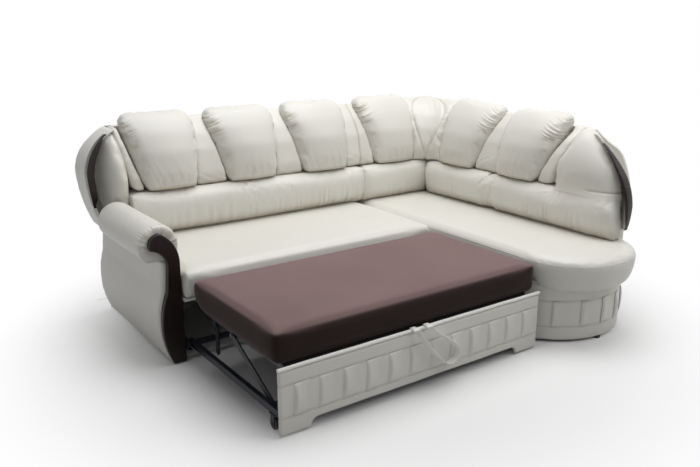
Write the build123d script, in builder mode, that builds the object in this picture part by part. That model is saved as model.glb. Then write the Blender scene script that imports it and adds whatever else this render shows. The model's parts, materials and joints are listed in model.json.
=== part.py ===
from build123d import *
from math import cos, radians, sin, sqrt
import os

os.makedirs("parts", exist_ok=True)

# Overall size of the corner sofa with its bed pulled out and raised
overall_width = 2310.0
overall_depth = 1830.0
back_height = 1034.0
seat_height = 430.0
long_side_depth = 885.0
back_depth = 265.0
glide_height = 8.0
glide_diameter = 44.0

# Bay under the long seat, and the pull-out front that fills it
bay_clearance = 10.0
panel_width = 1372.0
panel_thickness = 24.0
panel_bottom = 4.0
panel_height = 258.0
piping_diameter = 16.0
foot_width = 140.0
arch_height = 34.0
arch_radius = 24.0
pleat_count = 12
pleat_width = 104.0
pleat_margin = 62.0
pleat_rise = 7.0
pleat_band_bottom = 78.0
pleat_band_top = 205.0

# Arm
arm_width = 188.0
arm_setback = 45.0
arm_height = 635.0
roll_radius = 90.0
roll_overhang = 15.0
fascia_thickness = 22.0
fascia_border = 9.0
fascia_edge = 5.0
fascia_gap = 1.0
fascia_ease = 3.0
curl_reach = 0.88
curl_rise = 0.48
lip_reach = 0.84
lip_drop = 0.16
throat_depth = 14.0
throat_rise = 26.0
scroll_inset = 32.0
arm_belly = 44.0
arm_neck = 14.0
arm_foot_width = 66.0

# Boards and the leaning back frame
board = 12.0
rear_panel = 12.0
base_board = 18.0
frame_depth = 100.0
back_lean = 0.09
frame_height = 985.0
upright_width = 28.0
top_rail_height = 30.0
soft_gap = 0.4

# Back upholstery
lumbar_top = 668.0
lumbar_bulge = 36.0
lumbar_lip = 14.0
lumbar_draw = 16.0
headrest_pitch = 465.0
headrest_base_width = 284.0
headrest_drop = 6.0
headrest_gap = 3.0
spacer_gap = 8.0
first_headrest = 371.0
corner_headrest_offset = 224.0
return_headrest_share = 0.1694
return_pitch_share = 0.2541
spacer_recess = 22.0
pillow_bottom = 642.0
pillow_gap = 8.0
trim_thickness = 20.0
trim_depth = 42.0
trim_front = 230.0

# Curved ends of the two backs: the height of the widest point, and the draw-in above and below it
left_wing_height = 770.0
left_wing_upper_tuck = 150.0
left_wing_lower_tuck = 70.0
return_wing_height = 610.0
return_wing_upper_share = 0.1257
return_wing_lower_tuck = 20.0
return_wing_setback = 128.0
return_taper_share = 0.6685
wing_bottom = 478.0
left_trim_bottom = 600.0
return_trim_bottom = 490.0
trim_top = 948.0

# Seats
cushion_thickness = 130.0
nose_tuck = 30.0
seat_rail_height = 24.0
seat_rail_width = 30.0
round_end_length = 315.0
round_peak_share = 0.52
round_end_return = 215.0
round_end_ease = 1.3
shoulder_share = 0.17
shoulder_setback = 66.0
elbow_share = 0.19
elbow_setback = 48.0
base_tuck = 88.0

# Bed drawer
mattress_depth = 705.0
mattress_thickness = 133.0
mattress_bottom = 272.0
mattress_side_inset = 3.0
mattress_rear_gap = 22.0
mattress_front_gap = 5.0
runner_height = 36.0
runner_depth = 22.0
runner_wall = 2.5
rail_width = 20.0
rail_height = 28.0
rail_wall = 2.0
rail_bottom = 63.0
rail_gap = 4.0
rail_reach = 85.0
cross_tube_size = 20.0
floor_roller_diameter = 50.0
floor_roller_width = 20.0
floor_roller_setback = 55.0
guide_roller_width = 12.0
guide_roller_setback = 30.0
axle_diameter = 8.0
running_clearance = 0.1
fork_plate = 3.0
bracket_plate = 4.0

# Lift linkage
lift_length = 368.0
lift_angle = 26.6
lift_pivot_setback = 92.0
bar_thickness = 6.0
bar_width = 26.0
bar_gap = 3.0
torque_tube_diameter = 22.0
pivot_pin_diameter = 10.0
platform_tube = 20.0
platform_board = 10.0
platform_inset = 30.0
prop_setback = 108.0
prop_drop = 16.0
prop_foot_height = 82.0
strap_width = 26.0
strap_thickness = 3.0
strap_offset = -26.0
strap_spread = 70.0
strap_drop = 182.0
strap_swing = 133.0
strap_loop = 62.0

# Places that follow from the sizes above
left_edge = -overall_width / 2
right_edge = overall_width / 2
front_edge = -overall_depth / 2
rear_edge = overall_depth / 2
arm_inner = left_edge + arm_width
panel_left = arm_inner + bay_clearance
panel_right = panel_left + panel_width
return_left = panel_right + bay_clearance
bay_middle = (arm_inner + return_left) / 2
bay_half = (return_left - arm_inner) / 2
long_seat_front = rear_edge - long_side_depth
back_line = rear_edge - back_depth
cushion_bottom = seat_height - cushion_thickness
headrest_bottom = lumbar_top + headrest_drop

# Each back has a frame of its own: x runs along the back, y towards its rear face
long_side = Plane(origin=(0, rear_edge, 0), x_dir=(1, 0, 0), z_dir=(0, 0, 1))
return_side = Plane(origin=(right_edge, 0, 0), x_dir=(0, -1, 0), z_dir=(0, 0, 1))


def write(piece, name):
    piece.part.label = name
    export_step(piece.part, f"parts/{name}.step")


def write_group(pieces, name):
    with BuildPart() as whole:
        for piece in pieces:
            add(piece.part)
    write(whole, name)


def across(side, station):
    """Plane square to a back, with its x towards the rear face and its y upwards."""
    return Plane(origin=side.from_local_coords((station, 0, 0)), x_dir=side.y_dir, z_dir=side.x_dir)


def facing(side, depth):
    """Plane parallel to a back's rear face, with its y upwards and its normal to the front."""
    return Plane(origin=side.from_local_coords((0, depth, 0)), x_dir=side.x_dir, z_dir=-side.y_dir)


def lean(z):
    """Front face of the leaning back board at height z, measured from the rear face."""
    return -(rear_panel + frame_depth) + (z - seat_height) * back_lean


def wing_tuck(z, widest, upper_tuck, lower_tuck):
    """How far the curved end of a back draws in at height z from its widest point."""
    if z > widest:
        return upper_tuck * ((z - widest) / (frame_height - widest)) ** 2
    return lower_tuck * ((widest - z) / (widest - wing_bottom)) ** 2


def left_wing(z, inset=0.0):
    """Left end of the long back at height z, measured along the back."""
    return left_edge + wing_tuck(z, left_wing_height, left_wing_upper_tuck, left_wing_lower_tuck) + inset


def return_wing(z, inset=0.0):
    """Free end of the return's back at height z, measured along the back."""
    upper_tuck = return_wing_upper_share * overall_depth
    tuck = wing_tuck(z, return_wing_height, upper_tuck, return_wing_lower_tuck)
    return -front_edge - return_wing_setback - tuck - inset


# Upholstery built up from level sections


def pad(side, rings, taper=0.0, flat=False):
    """Loft of level sections: height, left, right, rear, then the front at left, middle and right."""
    with BuildPart() as piece:
        for z, left, right, rear, front_left, front_middle, front_right in rings:
            middle = (left + right) / 2
            with BuildSketch(side.offset(z)):
                with BuildLine():
                    Line((right - taper, rear), (left, rear))
                    Line((left, rear), (left, front_left))
                    if flat:
                        Line((left, front_left), (right, front_right))
                    else:
                        ThreePointArc((left, front_left), (middle, front_middle), (right, front_right))
                    Line((right, front_right), (right - taper, rear))
                make_face()
        loft(ruled=True)
    return piece


# Level sections of a headrest: share of its height, reach in front of the back line, spread, crown
spacer_levels = 6
headrest_levels = (
    (0.00, 10.0, 1.00, 16.0),
    (0.17, 30.0, 1.05, 28.0),
    (0.50, 10.0, 1.16, 36.0),
    (0.74, -38.0, 1.25, 34.0),
    (0.88, -82.0, 1.24, 30.0),
    (0.96, -118.0, 1.10, 24.0),
    (1.00, -156.0, 0.82, 14.0),
)


def level_height(share):
    return headrest_bottom + share * (back_height - headrest_bottom)


def headrest_half(share):
    """Half width of a headrest at a share of its height."""
    for low, high in zip(headrest_levels, headrest_levels[1:]):
        if share <= high[0]:
            part = (share - low[0]) / (high[0] - low[0])
            return headrest_base_width / 2 * (low[2] + part * (high[2] - low[2]))
    return headrest_base_width / 2 * headrest_levels[-1][2]


def level_share(z):
    return max(0.0, (z - headrest_bottom) / (back_height - headrest_bottom))


def headrest(side, centre):
    rings = []
    for share, reach, spread, crown in headrest_levels:
        z = level_height(share)
        half = headrest_base_width / 2 * spread
        front = -(back_depth + reach)
        rear = lean(z) - soft_gap
        rings.append((z, centre - half, centre + half, rear, front + crown, front, front + crown))
    return pad(side, rings)


def spacer(side, left_centre, right_limit):
    """Flat strip beside a headrest, out to right_limit(share) along the back."""
    rings = []
    for share, reach, spread, crown in headrest_levels[:spacer_levels]:
        z = level_height(share)
        left = left_centre + headrest_half(share) + spacer_gap
        front = -(back_depth + reach) + spacer_recess
        rear = lean(z) - soft_gap
        rings.append((z, left, right_limit(share), rear, front + crown, front + crown, front + crown))
    return pad(side, rings, flat=True)


def lumbar(side, left, right, tail=None):
    """Bulging roll along the foot of a back, drawn in at both ends; a tail runs on in front of the trim."""
    bottom = seat_height + headrest_drop
    ease = 3 * lumbar_draw
    sections = [(left, lumbar_draw, None), (left + ease, 0.0, None), (right - ease, 0.0, None)]
    if tail is None:
        sections.append((right, lumbar_draw, None))
    else:
        sections.append((right, 0.0, None))
        sections.append((tail, lumbar_draw, trim_depth - trim_front - soft_gap))
    with BuildPart() as piece:
        for station, draw, flat_rear in sections:
            low_rear = lean(bottom) - soft_gap if flat_rear is None else flat_rear
            high_rear = lean(lumbar_top) - soft_gap if flat_rear is None else flat_rear
            with BuildSketch(across(side, station)):
                with BuildLine():
                    crest = (-(back_depth + lumbar_bulge) + draw, (bottom + lumbar_top) / 2)
                    low = (-back_depth + draw / 2, bottom)
                    high = (-(back_depth + lumbar_lip) + draw / 2, lumbar_top)
                    Line((low_rear, bottom), low)
                    ThreePointArc(low, crest, high)
                    Line(high, (high_rear, lumbar_top))
                    Line((high_rear, lumbar_top), (low_rear, bottom))
                make_face()
        loft(ruled=True)
    return piece


def wing_band(side, wing, split_height, bottom, top, depth, thickness, taper=0.0):
    """Curved strip along the end of a back, thickness deep to the front, drawn in by taper at its rear."""
    low_middle = (bottom + split_height) / 2
    high_middle = (split_height + top) / 2
    with BuildPart() as piece:
        for place, shift in ((depth, taper), (depth - thickness, 0.0)):
            with BuildSketch(facing(side, place)):
                with BuildLine():
                    for inset in (shift, shift + trim_thickness):
                        split = (wing(split_height, inset), split_height)
                        foot = (wing(bottom, inset), bottom)
                        head = (wing(top, inset), top)
                        ThreePointArc(foot, (wing(low_middle, inset), low_middle), split)
                        ThreePointArc(split, (wing(high_middle, inset), high_middle), head)
                    Line((wing(bottom, shift), bottom), (wing(bottom, shift + trim_thickness), bottom))
                    Line((wing(top, shift), top), (wing(top, shift + trim_thickness), top))
                make_face()
        loft(ruled=True)
    return piece


# Arm: padded side, scroll roll and turned wooden front
roll_x = left_edge + roll_overhang + roll_radius
roll_z = arm_height - roll_radius
roll_turn = 232.0
roll_foot = roll_z + roll_radius * sin(radians(roll_turn))
arm_outer = arm_inner - arm_foot_width
arm_front = long_seat_front + arm_setback
arm_body_front = arm_front + fascia_thickness
arm_neck_x = arm_outer - arm_neck
arm_belly_x = arm_outer - arm_belly
arm_waist = roll_foot - 3 * roll_radius / 2

with BuildPart() as arm_side:
    with BuildSketch(Plane.XZ.offset(-rear_edge + rear_panel)):
        with BuildLine():
            Line((arm_inner, glide_height), (arm_inner, roll_foot))
            Line((arm_inner, roll_foot), (arm_neck_x, roll_foot))
            Line((arm_neck_x, roll_foot), (arm_neck_x - fascia_border, arm_waist))
            ThreePointArc(
                (arm_neck_x - fascia_border, arm_waist),
                (arm_belly_x, arm_waist / 2),
                (arm_outer, glide_height),
            )
            Line((arm_outer, glide_height), (arm_inner, glide_height))
        make_face()
    extrude(amount=rear_edge - rear_panel - arm_body_front)
write(arm_side, "arm_side")

with BuildPart() as arm_roll:
    with BuildSketch(Plane.XZ.offset(-back_line)):
        with BuildLine():
            turn = CenterArc((roll_x, roll_z), roll_radius, 0, roll_turn)
            Line(turn @ 1, (arm_inner, roll_foot))
            Line((arm_inner, roll_foot), turn @ 0)
        make_face()
    extrude(amount=back_line - arm_body_front)
    fillet(arm_roll.faces().sort_by(Axis.Y)[0].edges().sort_by(Axis.Z)[-1:], fascia_border)
write(arm_roll, "arm_roll")

scroll_radius = roll_radius - scroll_inset
fascia_right = arm_inner - fascia_gap
fascia_neck = arm_neck_x + 2 * fascia_border
fascia_top = roll_z + scroll_radius

with BuildPart() as arm_fascia:
    with BuildSketch(Plane.XZ.offset(-arm_body_front)):
        with BuildLine():
            shoulder = (fascia_right - fascia_ease, roll_foot)
            crest = (roll_x, fascia_top)
            lip = (roll_x - lip_reach * scroll_radius, roll_z - lip_drop * scroll_radius)
            neck = (fascia_neck, roll_foot - roll_radius / 3)
            waist = (fascia_neck - fascia_border, arm_waist)
            toe = (arm_outer + fascia_border, glide_height / 2)
            Line((fascia_right, glide_height / 2), shoulder)
            ThreePointArc(shoulder, (roll_x + scroll_radius, roll_z), crest)
            curl = (roll_x - curl_reach * scroll_radius, roll_z + curl_rise * scroll_radius)
            ThreePointArc(crest, curl, lip)
            ThreePointArc(lip, (fascia_neck - throat_depth, roll_foot + throat_rise), neck)
            Line(neck, waist)
            ThreePointArc(waist, (arm_belly_x + fascia_border, arm_waist / 2), toe)
            Line(toe, (fascia_right, glide_height / 2))
        make_face()
    extrude(amount=fascia_thickness)
    fillet(arm_fascia.faces().sort_by(Axis.Y)[0].edges(), fascia_edge)
write(arm_fascia, "arm_fascia")

# Back frame: leaning boards, uprights, top rails and rear panels
return_frame_x = right_edge + lean(seat_height)
return_pitch = return_pitch_share * overall_depth
first_return_headrest = return_headrest_share * overall_depth - back_line
return_headrests = [first_return_headrest, first_return_headrest + return_pitch]
pillow_start = return_headrests[1] + return_pitch / 2
return_taper = return_taper_share * (return_wing(frame_height, trim_thickness) - pillow_start)
return_inset = trim_thickness + return_taper
return_back_end = return_wing(frame_height, return_inset)
frame_foot = cushion_bottom


def back_board(side, left, right):
    bottom = seat_height + headrest_drop / 2
    with BuildPart() as piece:
        with BuildSketch(across(side, left)):
            with BuildLine():
                Polyline(
                    (lean(bottom), bottom),
                    (lean(frame_height), frame_height),
                    (lean(frame_height) + board, frame_height),
                    (lean(bottom) + board, bottom),
                    close=True,
                )
            make_face()
        extrude(amount=right - left)
    return piece


def uprights(side, stations, bottom):
    top = frame_height - top_rail_height
    with BuildPart() as piece:
        for station in stations:
            with BuildSketch(across(side, station - upright_width / 2)):
                with BuildLine():
                    Polyline(
                        (-rear_panel, bottom),
                        (-rear_panel, top),
                        (lean(top) + board, top),
                        (lean(seat_height) + board, seat_height),
                        (lean(seat_height) + board, bottom),
                        close=True,
                    )
                make_face()
        extrude(amount=upright_width)
    return piece


def top_rail(side, left, right):
    top = frame_height - top_rail_height
    with BuildPart() as piece:
        with BuildSketch(across(side, left)):
            with BuildLine():
                Polyline(
                    (-rear_panel, top),
                    (-rear_panel, frame_height),
                    (lean(frame_height) + board, frame_height),
                    (lean(top) + board, top),
                    close=True,
                )
            make_face()
        extrude(amount=right - left)
    return piece


board_left = arm_inner + headrest_gap
corner_start = return_left
module_gap = bay_clearance / 2
corner_rail_start = -rear_edge - lean(frame_height - top_rail_height)
write_group(
    [
        back_board(long_side, board_left, corner_start - module_gap),
        back_board(long_side, corner_start, return_frame_x),
    ],
    "long_back_boards",
)
write(back_board(return_side, -back_line - frame_depth, return_back_end), "return_back_board")
long_span = corner_start - arm_inner
long_stations = [arm_inner + long_span * share for share in (0.04, 0.35, 0.65, 0.95)]
return_stations = [return_back_end * share - back_line * (1 - share) for share in (0.1, 0.5, 0.96)]
write_group(
    [
        uprights(long_side, long_stations, frame_foot),
        uprights(return_side, return_stations, glide_height),
    ],
    "back_uprights",
)
write_group(
    [
        top_rail(long_side, board_left, corner_start - module_gap),
        top_rail(long_side, corner_start, right_edge - rear_panel),
        top_rail(return_side, corner_rail_start, return_back_end),
    ],
    "back_top_rails",
)

with BuildPart() as long_rear_panel:
    with BuildSketch(facing(long_side, 0)):
        with BuildLine():
            split = (left_wing(left_wing_height, trim_thickness), left_wing_height)
            foot = (left_wing(wing_bottom, trim_thickness), wing_bottom)
            head = (left_wing(frame_height, trim_thickness), frame_height)
            low_middle = (wing_bottom + left_wing_height) / 2
            high_middle = (left_wing_height + frame_height) / 2
            ThreePointArc(foot, (left_wing(low_middle, trim_thickness), low_middle), split)
            ThreePointArc(split, (left_wing(high_middle, trim_thickness), high_middle), head)
            Polyline(
                head,
                (right_edge, frame_height),
                (right_edge, glide_height),
                (arm_outer, glide_height),
                (arm_outer, wing_bottom),
                foot,
            )
        make_face()
    extrude(amount=rear_panel)
write(long_rear_panel, "long_rear_panel")

with BuildPart() as return_rear_panel:
    with BuildSketch(facing(return_side, 0)):
        with BuildLine():
            split = (return_wing(return_wing_height, return_inset), return_wing_height)
            foot = (return_wing(wing_bottom, return_inset), wing_bottom)
            head = (return_back_end, frame_height)
            low_middle = (wing_bottom + return_wing_height) / 2
            high_middle = (return_wing_height + frame_height) / 2
            ThreePointArc(foot, (return_wing(low_middle, return_inset), low_middle), split)
            ThreePointArc(split, (return_wing(high_middle, return_inset), high_middle), head)
            Polyline(
                head,
                (-rear_edge + rear_panel, frame_height),
                (-rear_edge + rear_panel, glide_height),
                (foot[0], glide_height),
                foot,
            )
        make_face()
    extrude(amount=rear_panel)
write(return_rear_panel, "return_rear_panel")

end_board_y = -return_wing(wing_bottom, return_inset)
with BuildPart() as return_end_board:
    with Locations((return_frame_x, end_board_y, glide_height)):
        Box(
            right_edge - rear_panel - return_frame_x,
            base_board,
            wing_bottom - glide_height,
            align=(Align.MIN, Align.MIN, Align.MIN),
        )
write(return_end_board, "return_end_board")

# Ends of the backs: dark trims and the padded strips behind them
strip_depth = trim_front - trim_depth - rear_panel
write(
    wing_band(long_side, left_wing, left_wing_height, left_trim_bottom, trim_top,
              trim_depth - trim_front, trim_depth),
    "left_back_trim",
)
write(
    wing_band(long_side, left_wing, left_wing_height, wing_bottom, frame_height,
              -rear_panel, strip_depth),
    "left_back_strip",
)
write(
    wing_band(return_side, return_wing, return_wing_height, return_trim_bottom, trim_top,
              trim_depth - trim_front, trim_depth),
    "return_back_trim",
)
write(
    wing_band(return_side, return_wing, return_wing_height, wing_bottom, frame_height,
              -rear_panel, strip_depth, return_taper),
    "return_back_strip",
)

# Headrests and the strips between them
long_headrests = [left_edge + first_headrest + headrest_pitch * index for index in range(3)]
corner_headrest_x = return_left + corner_headrest_offset

for index, centre in enumerate(long_headrests, start=1):
    write(headrest(long_side, centre), f"long_headrest_{index}")
write(headrest(long_side, corner_headrest_x), "corner_headrest")
for index, centre in enumerate(return_headrests, start=1):
    write(headrest(return_side, centre), f"return_headrest_{index}")


def next_headrest(centre):
    return lambda share: centre - headrest_half(share) - spacer_gap


write(spacer(long_side, long_headrests[0], next_headrest(long_headrests[1])), "long_spacer_1")
write(spacer(long_side, long_headrests[1], next_headrest(long_headrests[2])), "long_spacer_2")
write(spacer(long_side, long_headrests[2], next_headrest(corner_headrest_x)), "long_spacer_3")
write(spacer(return_side, return_headrests[0], next_headrest(return_headrests[1])), "return_spacer_1")
write(spacer(return_side, return_headrests[1], lambda share: pillow_start), "return_spacer_2")

# Lumbar rolls
return_lumbar_seam = -long_seat_front - arm_setback
lumbar_left = roll_x + roll_radius + headrest_gap
write(lumbar(long_side, lumbar_left, corner_start - headrest_gap), "long_lumbar")
inner_corner_x = right_edge - back_depth
write(lumbar(long_side, corner_start, inner_corner_x + lumbar_bulge), "corner_lumbar")
corner_lumbar_start = -back_line + lumbar_bulge + headrest_gap
write(lumbar(return_side, corner_lumbar_start, return_lumbar_seam), "return_corner_lumbar")
return_lumbar_end = -end_board_y - base_board - 2 * headrest_gap
return_lumbar_tail = return_wing(wing_bottom, trim_thickness + pillow_gap)
write(
    lumbar(return_side, return_lumbar_seam + headrest_gap, return_lumbar_end, return_lumbar_tail),
    "return_lumbar",
)

# Puffed pillows at the two ends and in the corner: share of the pillow's height, then its reach
pillow_levels = ((0.0, -8.0), (0.1, 8.0), (0.3, 18.0), (0.62, 0.0), (0.86, -44.0), (1.0, -96.0))
left_pillow_foot = ((-0.28, -4 * soft_gap), (-0.08, -12.0), (0.08, 4.0))
pillow_crown = 16.0
left_strip_levels = 4
left_strip_width = 28.0
left_strip_gap = 10.0
left_pillow_top = 915.0
pillow_over_trim = 52.0
return_pillow_top = trim_top + pillow_over_trim


def between(low, high, share):
    return low + share * (high - low)


def pillow_end(share):
    """Right edge of the left end pillow, beside the narrow strip at the first headrest."""
    return long_headrests[0] - headrest_half(share) - left_strip_width - left_strip_gap


left_strip_rings = []
for share, reach, spread, crown in headrest_levels[:left_strip_levels]:
    z = level_height(share)
    rear = lean(z) - soft_gap
    left = pillow_end(share) + left_strip_gap
    right = long_headrests[0] - headrest_half(share) - spacer_gap
    front = -(back_depth + reach) + spacer_recess
    left_strip_rings.append((z, left, right, rear, front + crown, front + crown, front + crown))
write(pad(long_side, left_strip_rings, flat=True), "left_spacer")

left_pillow_rings = []
for share, reach in left_pillow_foot + pillow_levels[2:]:
    z = between(pillow_bottom, left_pillow_top, share)
    rear = lean(z) - soft_gap
    front = -(back_depth + reach)
    outer_front = min(front + 4 * pillow_crown, -trim_front + trim_depth)
    left = left_wing(z, trim_thickness + pillow_gap)
    right = pillow_end(level_share(z))
    if z < headrest_bottom:
        right = arm_inner - headrest_gap
    left_pillow_rings.append((z, left, right, rear, outer_front, front, front + pillow_crown))

return_pillow_rings = []
for share, reach in pillow_levels:
    z = between(headrest_bottom, return_pillow_top, share)
    rear = lean(z) - soft_gap
    front = -(back_depth + reach)
    outer_front = min(front + 4 * pillow_crown, -trim_front + trim_depth)
    left = pillow_start + 2 * headrest_gap
    right = return_wing(z, trim_thickness + pillow_gap)
    return_pillow_rings.append((z, left, right, rear, front + pillow_crown, front, outer_front))
write(pad(long_side, left_pillow_rings), "left_end_pillow")
pillow_taper = return_taper * (strip_depth + lean(frame_height) + 2 * rear_panel) / strip_depth
write(pad(return_side, return_pillow_rings, pillow_taper), "return_end_pillow")

with BuildPart() as corner_wedge:
    for share, reach, spread, crown in headrest_levels[:spacer_levels]:
        z = level_height(share)
        with BuildSketch(Plane.XY.offset(z)):
            with BuildLine():
                front = back_depth + reach - spacer_recess
                from_long = (corner_headrest_x + headrest_half(share) + spacer_gap, rear_edge - front)
                from_return = (
                    right_edge - front,
                    -return_headrests[0] + headrest_half(share) + spacer_gap,
                )
                rear_x = right_edge + lean(z) - soft_gap
                rear_y = rear_edge + lean(z) - soft_gap
                fold = ((from_long[0] + 3 * from_return[0]) / 4, (3 * from_long[1] + from_return[1]) / 4)
                ThreePointArc(from_long, fold, from_return)
                Polyline(
                    from_return,
                    (rear_x, from_return[1]),
                    (rear_x, rear_y),
                    (from_long[0], rear_y),
                    from_long,
                )
            make_face()
    loft(ruled=True)
write(corner_wedge, "corner_wedge")

# Long seat: crowned cushion with a tucked nose, deck and rails
seat_rear = rear_edge + lean(seat_height)
seat_left = arm_inner + headrest_gap
seat_right = return_left - headrest_gap
cushion_draw = 7.0
seat_crown = 5.0
chin_share = 0.36
chin_height = cushion_bottom + 46.0
brow_share = 0.29

with BuildPart() as long_seat_cushion:
    for station, draw in (
        (seat_left, cushion_draw),
        (seat_left + 8 * cushion_draw, 0.0),
        (seat_right - 8 * cushion_draw, 0.0),
        (seat_right, cushion_draw),
    ):
        with BuildSketch(Plane.YZ.offset(station)):
            with BuildLine():
                top = seat_height - draw
                foot = (long_seat_front + nose_tuck, cushion_bottom)
                nose = (long_seat_front + draw, seat_height - nose_tuck - draw)
                brow = (long_seat_front + nose_tuck + draw, top)
                heel = (back_line, top)
                ThreePointArc(foot, (long_seat_front + chin_share * nose_tuck + draw, chin_height), nose)
                bend = brow_share * nose_tuck
                ThreePointArc(nose, (long_seat_front + bend + draw, top - bend), brow)
                ThreePointArc(brow, ((long_seat_front + back_line) / 2, top + seat_crown), heel)
                Polyline(heel, (seat_rear, top), (seat_rear, cushion_bottom), foot)
            make_face()
    loft(ruled=True)
write(long_seat_cushion, "long_seat_cushion")

deck_front = long_seat_front + nose_tuck
deck_middle = (deck_front + seat_rear) / 2
with BuildPart() as long_seat_deck:
    with Locations((bay_middle, deck_middle, cushion_bottom - board / 2)):
        Box(2 * bay_half, seat_rear - deck_front, board)
write(long_seat_deck, "long_seat_deck")

rail_z = cushion_bottom - board - seat_rail_height / 2
with BuildPart() as long_seat_rails:
    with Locations(
        (bay_middle, deck_front + seat_rail_width, rail_z),
        (bay_middle, rear_edge - rear_panel - seat_rail_width / 2, rail_z),
    ):
        Box(2 * bay_half, seat_rail_width, seat_rail_height)
write(long_seat_rails, "long_seat_rails")

# Return seat with its round end: share of the cushion's height, then the inset of its outline
return_seat_right = return_frame_x - headrest_gap
round_start = front_edge + round_end_length
round_finish = front_edge + round_end_return
return_width = return_frame_x - return_left
round_peak = return_left + round_peak_share * return_width
shoulder_reach = shoulder_share * return_width
elbow_reach = elbow_share * return_width
cushion_levels = (
    (0.00, 52.0),
    (0.10, 36.0),
    (0.25, 18.0),
    (0.50, 5.0),
    (0.72, 0.0),
    (0.86, 5.0),
    (0.94, 16.0),
    (0.985, 36.0),
    (1.00, 70.0),
)

with BuildPart() as return_seat_cushion:
    for share, inset in cushion_levels:
        with BuildSketch(Plane.XY.offset(cushion_bottom + soft_gap + share * cushion_thickness)):
            with BuildLine():
                left = return_left + inset
                right = return_seat_right - inset / 2
                peak = (round_peak, front_edge + round_end_ease + inset)
                start = (left, round_start)
                finish = (right, round_finish)
                slope = inset * sqrt(0.5)
                shoulder = (return_left + shoulder_reach + slope, front_edge + shoulder_setback + slope)
                elbow = (return_seat_right - elbow_reach - slope, front_edge + elbow_setback + slope)
                ThreePointArc(start, shoulder, peak)
                ThreePointArc(peak, elbow, finish)
                Polyline(finish, (right, seat_rear - inset / 2), (left, seat_rear - inset / 2), start)
            make_face()
    loft(ruled=True)
write(return_seat_cushion, "return_seat_cushion")

# The base's bent front: where its two arcs are widest, as a place along and a share of the tuck
base_shoulder = 0.223 * return_width
shoulder_rise = 1.75
base_elbow = 0.191 * return_width
elbow_rise = 1.4

with BuildPart() as return_seat_deck:
    with BuildSketch(Plane.XY.offset(cushion_bottom - board)):
        with BuildLine():
            start = (return_left, round_start)
            peak = (round_peak, front_edge + base_tuck)
            finish = (return_seat_right, round_finish)
            shoulder = (return_left + base_shoulder, front_edge + shoulder_rise * base_tuck)
            elbow = (return_seat_right - base_elbow, front_edge + elbow_rise * base_tuck)
            ThreePointArc(start, shoulder, peak)
            ThreePointArc(peak, elbow, finish)
            Polyline(finish, (return_seat_right, seat_rear), (return_left, seat_rear), start)
        make_face()
    extrude(amount=board)
write(return_seat_deck, "return_seat_deck")

# Return base: two side boards and a bent front with its row of pleats
base_height = cushion_bottom - board - glide_height
base_middle = (round_start + rear_edge - rear_panel) / 2
base_length = rear_edge - rear_panel - round_start
base_z = glide_height + base_height / 2

with BuildPart() as return_base_left:
    with Locations((return_left + base_board / 2, base_middle, base_z)):
        Box(base_board, base_length, base_height)
write(return_base_left, "return_base_left")

base_right_rear = rear_edge - rear_panel
with BuildPart() as return_base_right:
    with Locations((return_frame_x - base_board / 2, (round_finish + base_right_rear) / 2, base_z)):
        Box(base_board, base_right_rear - round_finish, base_height)
write(return_base_right, "return_base_right")


def base_curve(inset):
    """Bent front of the return's base, drawn in by inset, as two arcs that meet at its peak."""
    start = (return_left + inset, round_start)
    peak = (round_peak, front_edge + base_tuck + inset)
    finish = (return_frame_x - inset, round_finish)
    slope = inset * sqrt(0.5)
    shoulder = (return_left + base_shoulder + slope, front_edge + shoulder_rise * base_tuck + slope)
    elbow = (return_frame_x - base_elbow - slope, front_edge + elbow_rise * base_tuck + slope)
    return ThreePointArc(start, shoulder, peak), ThreePointArc(peak, elbow, finish)


with BuildPart() as return_base_front:
    with BuildSketch(Plane.XY.offset(glide_height)):
        with BuildLine():
            base_curve(0.0)
            base_curve(base_board)
            Line((return_left, round_start), (return_left + base_board, round_start))
            Line((return_frame_x, round_finish), (return_frame_x - base_board, round_finish))
        make_face()
    extrude(amount=base_height)
write(return_base_front, "return_base_front")

# Knife pleats, each a flap that stands proud along its first edge and is sewn flat above and below
pleat_middle = (pleat_band_bottom + pleat_band_top) / 2
pleat_half = (pleat_band_top - pleat_band_bottom) / 2
pleat_pitch = (panel_width - pleat_margin) / pleat_count
base_pleat_shares = (0.16, 0.5, 0.84)
pleat_sections = ((-1.0, 0.3), (-0.55, 1.0), (0.55, 1.0), (1.0, 0.3))


def pleat(plane):
    """One pleat on a plane whose x runs along the row and whose normal points out of the cloth."""
    first = -pleat_width / 2
    last = pleat_width / 2
    with BuildPart() as piece:
        for height, rise in pleat_sections:
            section = Plane(
                origin=plane.from_local_coords((0, height * pleat_half, 0)),
                x_dir=plane.x_dir,
                z_dir=plane.y_dir,
            )
            with BuildSketch(section):
                with BuildLine():
                    Polyline(
                        (first, 0),
                        (last, 0),
                        (first / 2, -rise * pleat_rise / 2),
                        (first + pleat_rise / 2, -rise * pleat_rise),
                        (first, -rise * pleat_rise / 2),
                        close=True,
                    )
                make_face()
        loft(ruled=True)
    return piece


base_pleat_planes = []
for arc in base_curve(-soft_gap):
    for share in base_pleat_shares:
        spot = arc @ share
        along = arc % share
        base_pleat_planes.append(
            Plane(
                origin=(spot.X, spot.Y, pleat_middle),
                x_dir=(along.X, along.Y, 0),
                z_dir=(along.Y, -along.X, 0),
            )
        )
write_group([pleat(plane) for plane in base_pleat_planes], "return_base_pleats")

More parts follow.
